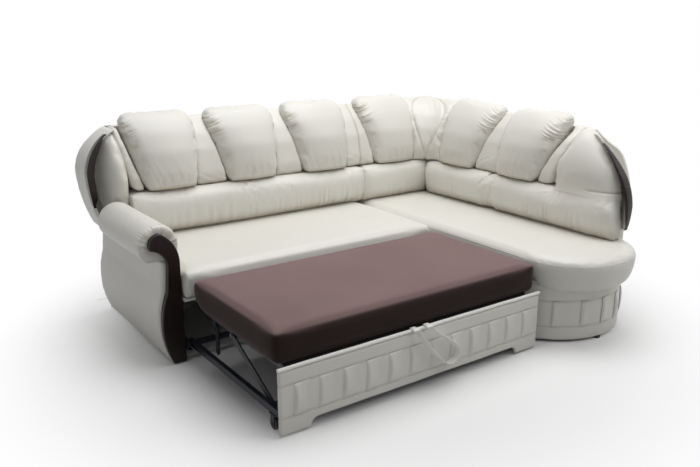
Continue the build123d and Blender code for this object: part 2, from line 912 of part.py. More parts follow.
# Glides under the arm and the return
with BuildPart() as glides:
    with Locations(
        ((arm_inner + arm_outer) / 2, arm_body_front + glide_diameter, 0),
        ((arm_inner + arm_outer) / 2, base_right_rear - glide_diameter, 0),
        (return_left + base_board / 2, round_start + glide_diameter, 0),
        (return_left + base_board / 2, base_right_rear - glide_diameter, 0),
        (return_frame_x - base_board / 2, round_finish + glide_diameter, 0),
        (return_frame_x - base_board / 2, base_right_rear - glide_diameter, 0),
        (round_peak, front_edge + base_tuck + glide_diameter / 2, 0),
    ):
        Cylinder(glide_diameter / 2, glide_height, align=(Align.CENTER, Align.CENTER, Align.MIN))
write(glides, "glides")

# Bed drawer: front panel with an arch between two feet
mattress_rear = long_seat_front - mattress_rear_gap
mattress_front = mattress_rear - mattress_depth
panel_inner = mattress_front - mattress_front_gap
panel_front = panel_inner - panel_thickness
panel_top = panel_bottom + panel_height

with BuildPart() as front_panel:
    with BuildSketch(Plane.XZ.offset(-panel_inner)):
        with Locations((bay_middle, panel_bottom + panel_height / 2)):
            Rectangle(panel_width, panel_height)
        with Locations((bay_middle, panel_bottom + arch_height / 2)):
            Rectangle(panel_width - 2 * foot_width, arch_height, mode=Mode.SUBTRACT)
    extrude(amount=panel_thickness)
    arch_corners = front_panel.edges().filter_by(Axis.Y).group_by(Axis.Z)[1]
    fillet(arch_corners, arch_radius)
write(front_panel, "front_panel")

piping_radius = piping_diameter / 2
with BuildPart() as panel_piping:
    with BuildSketch(Plane.YZ.offset(panel_left)):
        with Locations((panel_front + piping_radius, panel_top + piping_radius)):
            Circle(piping_radius)
    extrude(amount=panel_width)
write(panel_piping, "panel_piping")

panel_pleat_planes = [
    Plane(
        origin=(panel_left + pleat_margin + pleat_pitch * (index + 0.5), panel_front, pleat_middle),
        x_dir=(1, 0, 0),
        z_dir=(0, -1, 0),
    )
    for index in range(pleat_count)
]
write_group([pleat(plane) for plane in panel_pleat_planes], "panel_pleats")

# Runners on the bay walls and the rails that roll in them
rail_middle = rail_bottom + rail_height / 2
rail_outer = bay_half - runner_depth - rail_gap
rail_inner = rail_outer - rail_width
rail_rear = long_seat_front + rail_reach
lift_pivot = (panel_inner + lift_pivot_setback, rail_middle)
runner_front = long_seat_front + nose_tuck
runner_rear = rear_edge - rear_panel - frame_depth
sides = (-1, 1)

with BuildPart() as runner_channels:
    with BuildSketch(Plane.XZ.offset(-runner_rear)):
        for hand in sides:
            with Locations((bay_middle + hand * (bay_half - runner_depth / 2), rail_middle)):
                Rectangle(runner_depth, runner_height)
            with Locations((bay_middle + hand * (bay_half - runner_depth / 2 - runner_wall), rail_middle)):
                Rectangle(runner_depth, runner_height - 2 * runner_wall, mode=Mode.SUBTRACT)
    extrude(amount=runner_rear - runner_front)
write(runner_channels, "runner_channels")

with BuildPart() as drawer_rails:
    with BuildSketch(Plane.XZ.offset(-rail_rear)):
        with Locations(*[(bay_middle + hand * (rail_inner + rail_width / 2), rail_middle) for hand in sides]):
            Rectangle(rail_width, rail_height)
            Rectangle(rail_width - 2 * rail_wall, rail_height - 2 * rail_wall, mode=Mode.SUBTRACT)
    extrude(amount=rail_rear - panel_inner - bracket_plate)
    for hand in sides:
        pin_middle = bay_middle + hand * (rail_inner - (bar_gap + bar_thickness) / 2)
        with Locations((pin_middle, *lift_pivot)):
            Cylinder(pivot_pin_diameter / 2, bar_gap + bar_thickness, rotation=(0, 90, 0))
write(drawer_rails, "drawer_rails")

cross_z = rail_bottom + cross_tube_size / 2
front_cross_y = panel_inner + bracket_plate + cross_tube_size
rear_cross_y = rail_rear - cross_tube_size
with BuildPart() as drawer_cross_tubes:
    with Locations((bay_middle, front_cross_y, cross_z), (bay_middle, rear_cross_y, cross_z)):
        Box(2 * rail_inner, cross_tube_size, cross_tube_size)
write(drawer_cross_tubes, "drawer_cross_tubes")

# Floor rollers in forks under the rails, guide rollers on stubs in the runners
floor_roller_y = panel_inner + floor_roller_setback
floor_roller_z = floor_roller_diameter / 2
guide_roller_y = rail_rear - guide_roller_setback
guide_roller_diameter = runner_height - 2 * runner_wall - 1.0
fork_half = floor_roller_width / 2 + 1.0

bracket_width = rail_width + 2 * bar_width

with BuildPart() as drawer_brackets:
    for hand in sides:
        plate = bay_middle + hand * (rail_outer - bracket_width / 2)
        with Locations((plate, panel_inner + bracket_plate / 2, rail_middle)):
            Box(bracket_width, bracket_plate, 3 * rail_height)
        middle = bay_middle + hand * (rail_inner + rail_width / 2)
        with Locations((middle, floor_roller_y, rail_bottom - fork_plate / 2)):
            Box(2 * fork_half + 2 * fork_plate, floor_roller_diameter, fork_plate)
        for edge in sides:
            cheek = middle + edge * (fork_half + fork_plate / 2)
            cheek_height = rail_bottom - fork_plate - floor_roller_z + axle_diameter
            with Locations((cheek, floor_roller_y, rail_bottom - fork_plate - cheek_height / 2)):
                Box(fork_plate, bar_width, cheek_height)
        with Locations((middle, floor_roller_y, floor_roller_z)):
            Cylinder(axle_diameter / 2, 2 * fork_half + 4 * fork_plate, rotation=(0, 90, 0))
        stub = rail_outer + (rail_gap + runner_depth - runner_wall) / 2
        with Locations((bay_middle + hand * stub, guide_roller_y, rail_middle)):
            Cylinder(axle_diameter / 2, rail_gap + runner_depth - runner_wall - 1, rotation=(0, 90, 0))
write(drawer_brackets, "drawer_brackets")


def roller(x, y, z, diameter, width):
    with BuildPart() as piece:
        with BuildSketch(Plane.YZ.offset(x - width / 2)):
            with Locations((y, z)):
                Circle(diameter / 2)
                Circle(axle_diameter / 2 + running_clearance, mode=Mode.SUBTRACT)
        extrude(amount=width)
        chamfer(piece.edges().filter_by(GeomType.CIRCLE).group_by(SortBy.RADIUS)[-1], 1.5)
    return piece


for hand, name in zip(sides, ("left", "right")):
    floor_x = bay_middle + hand * (rail_inner + rail_width / 2)
    guide_x = bay_middle + hand * (bay_half - runner_depth / 2 - runner_wall / 2)
    write(
        roller(floor_x, floor_roller_y, floor_roller_z, floor_roller_diameter, floor_roller_width),
        f"floor_roller_{name}",
    )
    write(
        roller(guide_x, guide_roller_y, rail_middle, guide_roller_diameter, guide_roller_width),
        f"guide_roller_{name}",
    )

# Lift linkage: arms on the rails, joined by a torque tube, and the platform that they carry
lift_rise = radians(lift_angle)
lift_head = (lift_pivot[0] + lift_length * cos(lift_rise), lift_pivot[1] + lift_length * sin(lift_rise))
arm_plane_outer = rail_inner - bar_gap
bracket_outer = arm_plane_outer - bar_thickness - bar_gap
prop_outer = bracket_outer - bar_thickness - bar_gap
pin_hole = pivot_pin_diameter / 2 + running_clearance


def link(hand, outer, low, high, holes):
    """Flat bar between two points of the side view, rounded at both ends and bored at the given ones."""
    with BuildPart() as piece:
        with BuildSketch(Plane.YZ.offset(bay_middle + hand * outer)):
            with BuildLine():
                Line(low, high)
            trace(line_width=bar_width)
            with Locations(low, high):
                Circle(bar_width / 2)
            with Locations(*holes):
                Circle(pin_hole, mode=Mode.SUBTRACT)
        extrude(amount=-hand * bar_thickness)
    return piece


lift_bars = [link(hand, arm_plane_outer, lift_pivot, lift_head, (lift_pivot, lift_head)) for hand in sides]
with BuildPart() as lift_arms:
    for bar in lift_bars:
        add(bar.part)
    with BuildSketch(Plane.YZ.offset(bay_middle - arm_plane_outer + bar_thickness)):
        with Locations(lift_pivot):
            Circle(torque_tube_diameter / 2)
            Circle(torque_tube_diameter / 2 - rail_wall, mode=Mode.SUBTRACT)
    extrude(amount=2 * (arm_plane_outer - bar_thickness))
write(lift_arms, "lift_arms")

platform_half = bracket_outer
platform_front = mattress_front + platform_inset
platform_rear = mattress_rear - platform_inset
platform_top = mattress_bottom - platform_board
platform_middle = (platform_front + platform_rear) / 2
platform_z = platform_top - platform_tube / 2
prop_head = (mattress_rear - prop_setback, platform_top - platform_tube - prop_drop)

with BuildPart() as platform_frame:
    with Locations((bay_middle, platform_front, platform_z), (bay_middle, platform_rear, platform_z)):
        Box(2 * platform_half, platform_tube, platform_tube)
    for hand in sides:
        middle = bay_middle + hand * (platform_half - platform_tube / 2)
        with Locations((middle, platform_middle, platform_z)):
            Box(platform_tube, platform_rear - platform_front - platform_tube, platform_tube)
        plate = bay_middle + hand * (bracket_outer - bar_thickness / 2)
        for spot in (lift_head, prop_head):
            plate_low = spot[1] - bar_width / 2
            plate_high = platform_top - platform_tube
            with Locations((plate, spot[0], (plate_low + plate_high) / 2)):
                Box(bar_thickness, bar_width, plate_high - plate_low)
        arm_pin = bay_middle + hand * (arm_plane_outer - (bar_thickness + bar_gap) / 2)
        with Locations((arm_pin, *lift_head)):
            Cylinder(pivot_pin_diameter / 2, bar_thickness + bar_gap, rotation=(0, 90, 0))
        prop_pin = bay_middle + hand * (bracket_outer - bar_thickness - (bar_thickness + bar_gap) / 2)
        with Locations((prop_pin, *prop_head)):
            Cylinder(pivot_pin_diameter / 2, bar_thickness + bar_gap, rotation=(0, 90, 0))
write(platform_frame, "platform_frame")

with BuildPart() as platform_deck:
    with Locations((bay_middle, platform_middle, mattress_bottom - platform_board / 2)):
        Box(2 * platform_half, platform_rear - platform_front + platform_tube, platform_board)
write(platform_deck, "platform_deck")

prop_foot = (prop_head[0], prop_foot_height + bar_width / 2)
write_group([link(hand, prop_outer, prop_foot, prop_head, (prop_head,)) for hand in sides], "rear_props")

# Mattress: level sections with a round rear underside, rolled edges and a crown
mattress_width = panel_width - 2 * mattress_side_inset
mattress_corner = 22.0
mattress_levels = (
    (0.00, 14.0, 120.0),
    (0.10, 3.0, 58.0),
    (0.30, 0.0, 14.0),
    (0.55, 0.0, 0.0),
    (0.88, 0.0, 0.0),
    (0.97, 8.0, 8.0),
    (1.00, 40.0, 40.0),
)
with BuildPart() as mattress:
    for share, inset, rear_inset in mattress_levels:
        depth = mattress_depth - inset - rear_inset
        middle = mattress_front + inset + depth / 2
        with BuildSketch(Plane.XY.offset(mattress_bottom + share * mattress_thickness)):
            with Locations((bay_middle, middle)):
                RectangleRounded(mattress_width - 2 * inset, depth, mattress_corner)
    loft(ruled=True)
write(mattress, "mattress")

# Pull strap: a webbing loop on edge, hung from two flat ends that lie over the piping
strap_left = bay_middle + strap_offset - strap_spread / 2
strap_right = strap_left + strap_spread
strap_face = panel_front - pleat_rise - soft_gap
strap_top = panel_top + piping_diameter + soft_gap + strap_thickness
strap_low = strap_top - strap_drop
loop_middle = (strap_left + strap_right) / 2 + strap_swing
tab_rear = panel_front + piping_diameter
with BuildPart() as pull_strap:
    with BuildSketch(Plane.XZ.offset(-strap_face)):
        with BuildLine():
            left_low = (loop_middle - strap_loop / 2, strap_low + strap_loop / 4)
            right_low = (loop_middle + strap_loop, strap_low + 3 * strap_loop / 4)
            Line((strap_left, strap_top), left_low)
            ThreePointArc(left_low, (loop_middle + strap_loop / 2, strap_low), right_low)
            Line(right_low, (strap_right, strap_top))
        trace(line_width=strap_thickness)
        with Locations((loop_middle, strap_top)):
            Rectangle(panel_width, strap_width, align=(Align.CENTER, Align.MIN), mode=Mode.SUBTRACT)
    extrude(amount=strap_width)
    with Locations((strap_left, tab_rear, strap_top), (strap_right, tab_rear, strap_top)):
        Box(
            strap_width,
            tab_rear - strap_face + strap_width,
            strap_thickness,
            align=(Align.CENTER, Align.MAX, Align.MAX),
        )
write(pull_strap, "pull_strap")
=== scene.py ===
import bpy
import bmesh
import json
import math
import numpy
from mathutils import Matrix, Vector, noise
from mathutils.bvhtree import BVHTree


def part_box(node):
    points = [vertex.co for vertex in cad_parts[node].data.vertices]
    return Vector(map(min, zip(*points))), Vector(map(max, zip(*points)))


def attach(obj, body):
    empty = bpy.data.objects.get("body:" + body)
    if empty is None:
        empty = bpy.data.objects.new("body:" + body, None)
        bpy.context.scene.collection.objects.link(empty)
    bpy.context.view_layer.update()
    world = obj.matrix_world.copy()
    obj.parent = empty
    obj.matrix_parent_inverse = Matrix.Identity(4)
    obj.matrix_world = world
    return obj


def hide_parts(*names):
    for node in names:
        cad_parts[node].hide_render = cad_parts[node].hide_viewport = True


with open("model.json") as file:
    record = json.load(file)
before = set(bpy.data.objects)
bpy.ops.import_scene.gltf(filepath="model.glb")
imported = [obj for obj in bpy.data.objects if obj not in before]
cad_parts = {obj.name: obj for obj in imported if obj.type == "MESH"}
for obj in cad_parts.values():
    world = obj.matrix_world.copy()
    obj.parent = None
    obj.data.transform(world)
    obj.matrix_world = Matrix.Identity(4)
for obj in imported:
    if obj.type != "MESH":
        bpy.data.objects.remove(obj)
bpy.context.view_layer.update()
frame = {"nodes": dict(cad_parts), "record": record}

nodes = frame["nodes"]
record = frame["record"]
scene = bpy.context.scene
scene.view_settings.view_transform = "Standard"
print("frame loaded,", len(nodes), "nodes")


# a node's inputs by name or number: a socket is linked, a constant is set
def feed(tree, node, inputs):
    for key, value in inputs.items():
        if isinstance(value, bpy.types.NodeSocket):
            tree.links.new(value, node.inputs[key])
        else:
            node.inputs[key].default_value = value
    return node


def put(tree, kind, inputs=None, **settings):
    node = tree.nodes.new(kind)
    for key, value in settings.items():
        setattr(node, key, value)
    return feed(tree, node, inputs or {})


# a group with its input and output nodes; a value of None leaves the socket's own default
def newGroup(name, treeKind, inputs, outputs):
    tree = bpy.data.node_groups.new(name, treeKind)
    for title, kind, value in inputs:
        socket = tree.interface.new_socket(title, in_out="INPUT", socket_type="NodeSocket" + kind)
        if value is not None:
            socket.default_value = value
    for title, kind in outputs:
        tree.interface.new_socket(title, in_out="OUTPUT", socket_type="NodeSocket" + kind)
    return tree, tree.nodes.new("NodeGroupInput").outputs, tree.nodes.new("NodeGroupOutput")


def mathNode(tree, operation, first, second):
    return put(tree, "ShaderNodeMath", {0: first, 1: second}, operation=operation).outputs[0]


firstColour, secondColour, mixedColour = 6, 7, 2  # the colour sockets of a mix node


def mixColour(tree, share, first, second):
    sockets = {"Factor": share, firstColour: first, secondColour: second}
    return put(tree, "ShaderNodeMix", sockets, data_type="RGBA").outputs[mixedColour]


def objectPlace(tree):
    return put(tree, "ShaderNodeTexCoord").outputs["Object"]


cloudLook = {"detail": 5.0, "rough": 0.6, "from": 0.35, "to": 0.70}


# cloudy tint: noise that moves a colour towards a second one
def makeTintGroup(look):
    tree, source, sink = newGroup(
        "cloudyTint", "ShaderNodeTree",
        [("Colour", "Color", (1, 1, 1, 1)), ("Shade", "Color", (0.5, 0.5, 0.5, 1)),
         ("Scale", "Float", 4.0), ("Amount", "Float", 0.3)],
        [("Colour", "Color"), ("Mask", "Float")])
    cloud = put(tree, "ShaderNodeTexNoise", {"Vector": objectPlace(tree), "Scale": source["Scale"],
                                             "Detail": look["detail"], "Roughness": look["rough"]})
    spread = put(tree, "ShaderNodeMapRange", {"Value": cloud.outputs["Fac"], "From Min": look["from"],
                                              "From Max": look["to"]})
    share = mathNode(tree, "MULTIPLY", spread.outputs["Result"], source["Amount"])
    feed(tree, sink, {"Colour": mixColour(tree, share, source["Colour"], source["Shade"]), "Mask": share})
    return tree


rippleLook = {"scale": 60.0, "detail": 4.0}


# fine grain: pebbled cells with a softer ripple over them, as a height
def makeGrainGroup(look):
    tree, source, sink = newGroup(
        "pebbleGrain", "ShaderNodeTree",
        [("Scale", "Float", 700.0), ("Cells", "Float", 0.7), ("Ripple", "Float", 0.3)], [("Height", "Float")])
    place = objectPlace(tree)
    cells = put(tree, "ShaderNodeTexVoronoi", feature="SMOOTH_F1")
    feed(tree, cells, {"Vector": place, "Scale": source["Scale"]})
    ripple = put(tree, "ShaderNodeTexNoise", {"Vector": place, "Scale": look["scale"],
                                              "Detail": look["detail"]})
    pebbles = mathNode(tree, "MULTIPLY", cells.outputs["Distance"], source["Cells"])
    swell = mathNode(tree, "MULTIPLY", ripple.outputs["Fac"], source["Ripple"])
    feed(tree, sink, {"Height": mathNode(tree, "ADD", pebbles, swell)})
    return tree


tintGroup = makeTintGroup(cloudLook)
grainGroup = makeGrainGroup(rippleLook)


def useGroup(tree, group, **values):
    return put(tree, "ShaderNodeGroup", values, node_tree=group)


def startMaterial(name):
    material = bpy.data.materials.new(name)
    material.use_nodes = True
    tree = material.node_tree
    return material, tree, tree.nodes["Principled BSDF"]


def bumpFrom(tree, height, strength, distance):
    sockets = {"Strength": strength, "Distance": distance, "Height": height}
    return put(tree, "ShaderNodeBump", sockets).outputs["Normal"]


def roughFromMask(tree, mask, low, high):
    return put(tree, "ShaderNodeMapRange", {"To Min": low, "To Max": high, "Value": mask}).outputs["Result"]


# the crease colour is painted shade for hollows and seams; colour and shade are the leather's own cloudy
# tones
leatherLook = {
    "colour": (0.75, 0.735, 0.685, 1), "shade": (0.70, 0.68, 0.61, 1), "paintedCreaseShade": (0.42, 0.35, 0.23, 1),
    "cloudScale": 3.2, "cloudAmount": 0.35, "roughLow": 0.40, "roughHigh": 0.56,
    "grainScale": 620.0, "grainStrength": 0.22, "grainDepth": 0.0006,
}
# painted light: the piping is a lighter copy of the same cream leather, as its up-facing edge looks lit
pipingLitLook = dict(leatherLook, colour=(0.87, 0.86, 0.82, 1), shade=(0.83, 0.81, 0.76, 1))


# painted shade: the leather is painted darker and warmer in hollows, folds and seams and at each piece's
# foot, read from each piece's own attribute
def makeLeather(name, look, creaseShaded):
    material, tree, shader = startMaterial(name)
    tint = useGroup(tree, tintGroup, Colour=look["colour"], Shade=look["shade"],
                    Scale=look["cloudScale"], Amount=look["cloudAmount"])
    colour = tint.outputs["Colour"]
    if creaseShaded:
        fold = put(tree, "ShaderNodeAttribute", attribute_name="paintedCreaseShade")
        colour = mixColour(tree, fold.outputs["Fac"], colour, look["paintedCreaseShade"])
    grain = useGroup(tree, grainGroup, Scale=look["grainScale"]).outputs["Height"]
    feed(tree, shader, {
        "Base Color": colour,
        "Roughness": roughFromMask(tree, tint.outputs["Mask"], look["roughLow"], look["roughHigh"]),
        "Normal": bumpFrom(tree, grain, look["grainStrength"], look["grainDepth"])})
    return material


woodLook = {
    "colour": (0.0065, 0.0026, 0.0024, 1), "shade": (0.018, 0.0070, 0.0060, 1),
    "colourAt": 0.36, "shadeAt": 0.72, "rough": 0.34, "coat": 0.12, "coatRough": 0.18, "specular": 0.28,
    "stretch": (9.0, 9.0, 1.2), "ringScale": 9.0, "ringDetail": 8.0, "ringBend": 1.2,
    "bump": 0.06, "bumpDepth": 0.0006,
}


def makeWood(look):
    material, tree, shader = startMaterial("darkWood")
    turn = put(tree, "ShaderNodeMapping", {"Scale": look["stretch"], "Vector": objectPlace(tree)})
    rings = put(tree, "ShaderNodeTexNoise", {"Vector": turn.outputs["Vector"], "Scale": look["ringScale"],
                                             "Detail": look["ringDetail"], "Distortion": look["ringBend"]})
    ramp = put(tree, "ShaderNodeValToRGB", {"Fac": rings.outputs["Fac"]})
    for element, title in zip(ramp.color_ramp.elements, ("colour", "shade")):
        element.position = look[title + "At"]
        element.color = look[title]
    feed(tree, shader, {
        "Base Color": ramp.outputs["Color"], "Roughness": look["rough"],
        "Specular IOR Level": look["specular"],
        "Coat Weight": look["coat"], "Coat Roughness": look["coatRough"],
        "Normal": bumpFrom(tree, rings.outputs["Fac"], look["bump"], look["bumpDepth"])})
    return material


# painted sheen: the top colours make the cover's top lighter than its dark brown sides
mattressLook = {
    "colour": (0.019, 0.0115, 0.0105, 1), "shade": (0.027, 0.017, 0.0155, 1), "cloud": 5.0, "amount": 0.8,
    "sheenTopColour": (0.195, 0.130, 0.126, 1), "sheenTopTone": (0.225, 0.154, 0.149, 1), "topCloud": 3.0,
    "rough": 0.85, "specular": 0.1, "sheen": 0.30, "sheenRough": 0.40, "sheenTint": (0.98, 0.80, 0.79, 1),
    "pileScale": 1500.0, "pileCells": 0.5, "pileRipple": 0.6, "bump": 0.35, "bumpDepth": 0.0008,
}


# painted sheen: the cover's top is painted lighter than its sides, as a lit top looks from a grazing view;
# read from the piece's own attribute
def makeMicrofibre(look):
    material, tree, shader = startMaterial("brownMicrofibre")
    border = useGroup(tree, tintGroup, Colour=look["colour"], Shade=look["shade"], Scale=look["cloud"],
                      Amount=look["amount"])
    sheenTop = useGroup(tree, tintGroup, Colour=look["sheenTopColour"], Shade=look["sheenTopTone"],
                       Scale=look["topCloud"], Amount=look["amount"])
    paintedTopSheen = put(tree, "ShaderNodeAttribute", attribute_name="paintedTopSheen")
    pile = useGroup(tree, grainGroup, Scale=look["pileScale"], Cells=look["pileCells"],
                    Ripple=look["pileRipple"])
    cover = mixColour(tree, paintedTopSheen.outputs["Fac"], border.outputs["Colour"], sheenTop.outputs["Colour"])
    feed(tree, shader, {
        "Base Color": cover,
        "Roughness": look["rough"], "Sheen Weight": look["sheen"], "Sheen Roughness": look["sheenRough"],
        "Sheen Tint": look["sheenTint"], "Specular IOR Level": look["specular"],
        "Normal": bumpFrom(tree, pile.outputs["Height"], look["bump"], look["bumpDepth"])})
    return material


plainShared = {"amount": 0.7, "roughSpread": 0.16, "bumpDepth": 0.0005}
plainLooks = {
    "blueBlackSteel": {"colour": (0.014, 0.016, 0.023, 1), "shade": (0.034, 0.037, 0.047, 1), "rough": 0.34,
                       "metallic": 0.35, "cloud": 14.0, "bump": 0.10, "grain": 900.0},
    "blackPlastic": {"colour": (0.020, 0.020, 0.021, 1), "shade": (0.040, 0.040, 0.042, 1), "rough": 0.48,
                     "metallic": 0.0, "cloud": 20.0, "bump": 0.10, "grain": 1100.0},
    "sawnTimber": {"colour": (0.46, 0.31, 0.17, 1), "shade": (0.60, 0.44, 0.27, 1), "rough": 0.62,
                   "metallic": 0.0, "cloud": 7.0, "bump": 0.20, "grain": 400.0},
    "creamThread": {"colour": (0.68, 0.64, 0.54, 1), "shade": (0.58, 0.53, 0.43, 1), "rough": 0.60,
                    "metallic": 0.0, "cloud": 60.0, "bump": 0.10, "grain": 2000.0},
    "zincBolt": {"colour": (0.10, 0.10, 0.11, 1), "shade": (0.20, 0.20, 0.21, 1), "rough": 0.32,
                 "metallic": 0.9, "cloud": 90.0, "bump": 0.05, "grain": 1500.0},
    # painted shade: a near black for the timber seat rails, as the shade under the seat
    "railShadeBlack": {"colour": (0.016, 0.016, 0.017, 1), "shade": (0.030, 0.030, 0.031, 1), "rough": 0.78,
                    "metallic": 0.0, "cloud": 16.0, "bump": 0.25, "grain": 800.0},
}


def makePlain(name, look):
    material, tree, shader = startMaterial(name)
    tint = useGroup(tree, tintGroup, Colour=look["colour"], Shade=look["shade"], Scale=look["cloud"],
                    Amount=plainShared["amount"])
    grain = useGroup(tree, grainGroup, Scale=look["grain"]).outputs["Height"]
    roughHigh = look["rough"] + plainShared["roughSpread"]
    feed(tree, shader, {
        "Base Color": tint.outputs["Colour"], "Metallic": look["metallic"],
        "Roughness": roughFromMask(tree, tint.outputs["Mask"], look["rough"], roughHigh),
        "Normal": bumpFrom(tree, grain, look["bump"], plainShared["bumpDepth"])})
    return material


webbingLook = {"colour": (0.94, 0.93, 0.90, 1), "shade": (0.86, 0.84, 0.79, 1), "threads": 190.0,
               "cloud": 30.0, "amount": 0.5, "slant": 0.9, "rough": 0.78, "bump": 0.5, "bumpDepth": 0.0008}


# woven webbing: two crossed fine waves
def makeWebbing(look):
    material, tree, shader = startMaterial("whiteWebbing")
    tint = useGroup(tree, tintGroup, Colour=look["colour"], Shade=look["shade"], Scale=look["cloud"],
                    Amount=look["amount"])
    place = objectPlace(tree)
    waves = []
    for turned in (0.0, math.pi / 2):
        spin = put(tree, "ShaderNodeMapping", {"Rotation": (0, turned, look["slant"]), "Vector": place})
        wave = put(tree, "ShaderNodeTexWave", {"Scale": look["threads"], "Vector": spin.outputs["Vector"]})
        waves.append(wave.outputs["Fac"])
    weave = mathNode(tree, "MULTIPLY", *waves)
    feed(tree, shader, {"Base Color": tint.outputs["Colour"], "Roughness": look["rough"],
                        "Normal": bumpFrom(tree, weave, look["bump"], look["bumpDepth"])})
    return material


leather = makeLeather("creamLeather", leatherLook, True)
plainLeather = makeLeather("creamLeatherFlat", leatherLook, False)
# the piping leather is the painted-light copy of the cream leather
pipingLitLeather = makeLeather("creamPipingLit", pipingLitLook, False)
darkWood = makeWood(woodLook)
microfibre = makeMicrofibre(mattressLook)
plain = {title: makePlain(title, look) for title, look in plainLooks.items()}
timber, thread, boltSteel = plain["sawnTimber"], plain["creamThread"], plain["zincBolt"]
webbing = makeWebbing(webbingLook)
print("materials made")

hardLook = {
    "dark_wood": darkWood, "frame_timber": timber, "dark_steel": plain["blueBlackSteel"],
    "black_plastic": plain["blackPlastic"], "faux_leather": plainLeather, "brown_fabric": microfibre,
    "webbing": webbing,
}
# the seat decks wear the plain leather; the timber seat rails get painted shade in near black
ownLook = {"long_seat_deck": plainLeather, "return_seat_deck": plainLeather,
           "long_seat_rails": plain["railShadeBlack"]}
slotOf = {row["node"]: row["material_slot"] for row in record["subparts"]}
for nodeName, solid in nodes.items():
    solid.data.materials.clear()
    solid.data.materials.append(ownLook.get(nodeName, hardLook[slotOf[nodeName]]))


def meshObject(name, mesh, material):
    piece = bpy.data.objects.new(name, mesh)
    scene.collection.objects.link(piece)
    mesh.materials.clear()
    mesh.materials.append(material)
    return piece


def finishPiece(piece, body, replaced=()):
    piece.data.polygons.foreach_set("use_smooth", [True] * len(piece.data.polygons))
    if replaced:
        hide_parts(*replaced)
    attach(piece, body)
    return piece


mergeDistance = 0.00002


# a CAD node's mesh as one merged work mesh
def mergedNode(nodeName):
    work = bmesh.new()
    work.from_mesh(nodes[nodeName].data)
    bmesh.ops.remove_doubles(work, verts=work.verts, dist=mergeDistance)
    return work


def asMesh(work, name):
    mesh = bpy.data.meshes.new(name)
    work.to_mesh(mesh)
    work.free()
    return mesh


# one mesh from copies of CAD solids, each merged first; a shift may move its points
def copySolids(names, shifts=()):
    whole = bmesh.new()
    for nodeName in names:
        part = mergedNode(nodeName)
        if nodeName in shifts:
            for vert in part.verts:
                vert.co += Vector(shifts[nodeName](vert.co))
        data = asMesh(part, "part")
        whole.from_mesh(data)
        bpy.data.meshes.remove(data)
    bmesh.ops.recalc_face_normals(whole, faces=whole.faces)
    return asMesh(whole, "copy")


# the evaluated mesh takes the place of the modifiers
def applied(piece):
    graph = bpy.context.evaluated_depsgraph_get()
    mesh = bpy.data.meshes.new_from_object(piece.evaluated_get(graph))
    piece.modifiers.clear()
    old = piece.data
    piece.data = mesh
    bpy.data.meshes.remove(old)


def readRows(items, title, width, kind=float):
    values = numpy.empty(len(items) * width, dtype=kind)
    items.foreach_get(title, values)
    return values.reshape(-1, width)


def readPoints(mesh):
    return readRows(mesh.vertices, "co", 3)


def readEdges(mesh):
    return readRows(mesh.edges, "vertices", 2, numpy.int32)


def readNormals(mesh):
    return readRows(mesh.vertex_normals, "vector", 3)


def writePoints(mesh, points):
    mesh.vertices.foreach_set("co", points.ravel())
    mesh.update()


# mean of each point's neighbours, for points or for single values
def neighbourMean(values, edges):
    total = numpy.zeros_like(values)
    count = numpy.bincount(edges.ravel(), minlength=len(values))
    numpy.add.at(total, edges[:, 0], values[edges[:, 1]])
    numpy.add.at(total, edges[:, 1], values[edges[:, 0]])
    count = numpy.maximum(count, 1)
    return total / (count[:, None] if values.ndim == 2 else count)


smoothShare = 0.5  # how far a round of smoothing moves a value towards its neighbours


def smoothPoints(mesh, rounds, mask=None):
    edges = readEdges(mesh)
    points = readPoints(mesh)
    share = smoothShare if mask is None else smoothShare * mask(points)[:, None]
    for _ in range(rounds):
        points = points + share * (neighbourMean(points, edges) - points)
    writePoints(mesh, points)


def smoothValues(values, edges, rounds):
    for _ in range(rounds):
        values = (1 - smoothShare) * values + smoothShare * neighbourMean(values, edges)
    return values


def pointLayer(mesh, title, values):
    mesh.attributes.new(title, "FLOAT", "POINT").data.foreach_set("value", values)


simFrames = 10
clothLook = {
    "quality": 3, "mass": 0.4, "tension_stiffness": 12, "compression_stiffness": 6, "shear_stiffness": 5,
    "bending_stiffness": 0.6, "tension_damping": 12, "compression_damping": 12, "air_damping": 6,
    "use_pressure": True, "vertex_group_mass": "held",
}
leastMove = 1e-9  # keeps a still point from dividing by nothing
softQueue = []


# spec: voxel, rounds of smoothing, inset, pressure, slack, cap, fill, pinned(co, normal), folds(co, normal)
def softPiece(name, solids, spec, body="sofa", material=leather, shifts=(), reshape=None):
    piece = meshObject(name, copySolids(solids, shifts), material)
    remesh = piece.modifiers.new("voxels", "REMESH")
    remesh.mode = "VOXEL"
    remesh.voxel_size = spec["voxel"]
    applied(piece)
    mesh = piece.data
    smoothPoints(mesh, spec["rounds"])
    if "blend" in spec:
        smoothPoints(mesh, spec["blendRounds"], spec["blend"])
    if reshape:
        spots = [vert.co.copy() for vert in mesh.vertices]
        writePoints(mesh, numpy.array([spot + reshape(spot) for spot in spots]))
    start = readPoints(mesh) - spec["inset"] * readNormals(mesh)
    writePoints(mesh, start)
    softQueue.append({"piece": piece, "solids": solids, "spec": spec, "body": body, "start": start})
    if spec["pressure"] == 0:
        return
    held = piece.vertex_groups.new(name="held")
    for vert in mesh.vertices:
        if spec["pinned"](vert.co, vert.normal):
            held.add([vert.index], 1.0, "REPLACE")
    cloth = piece.modifiers.new("stuffing", "CLOTH")
    settings = cloth.settings
    for title, value in clothLook.items():
        setattr(settings, title, value)
    settings.uniform_pressure_force = spec["pressure"]
    settings.shrink_min = -spec["slack"]
    settings.effector_weights.gravity = 0.0
    cloth.collision_settings.use_collision = False
    cloth.point_cache.frame_start = 1
    cloth.point_cache.frame_end = simFrames


# painted shade in hollows: how strongly hollowness darkens the leather, and its smoothing rounds
creaseShadeLook = {"strength": 3.0, "rounds": 2}
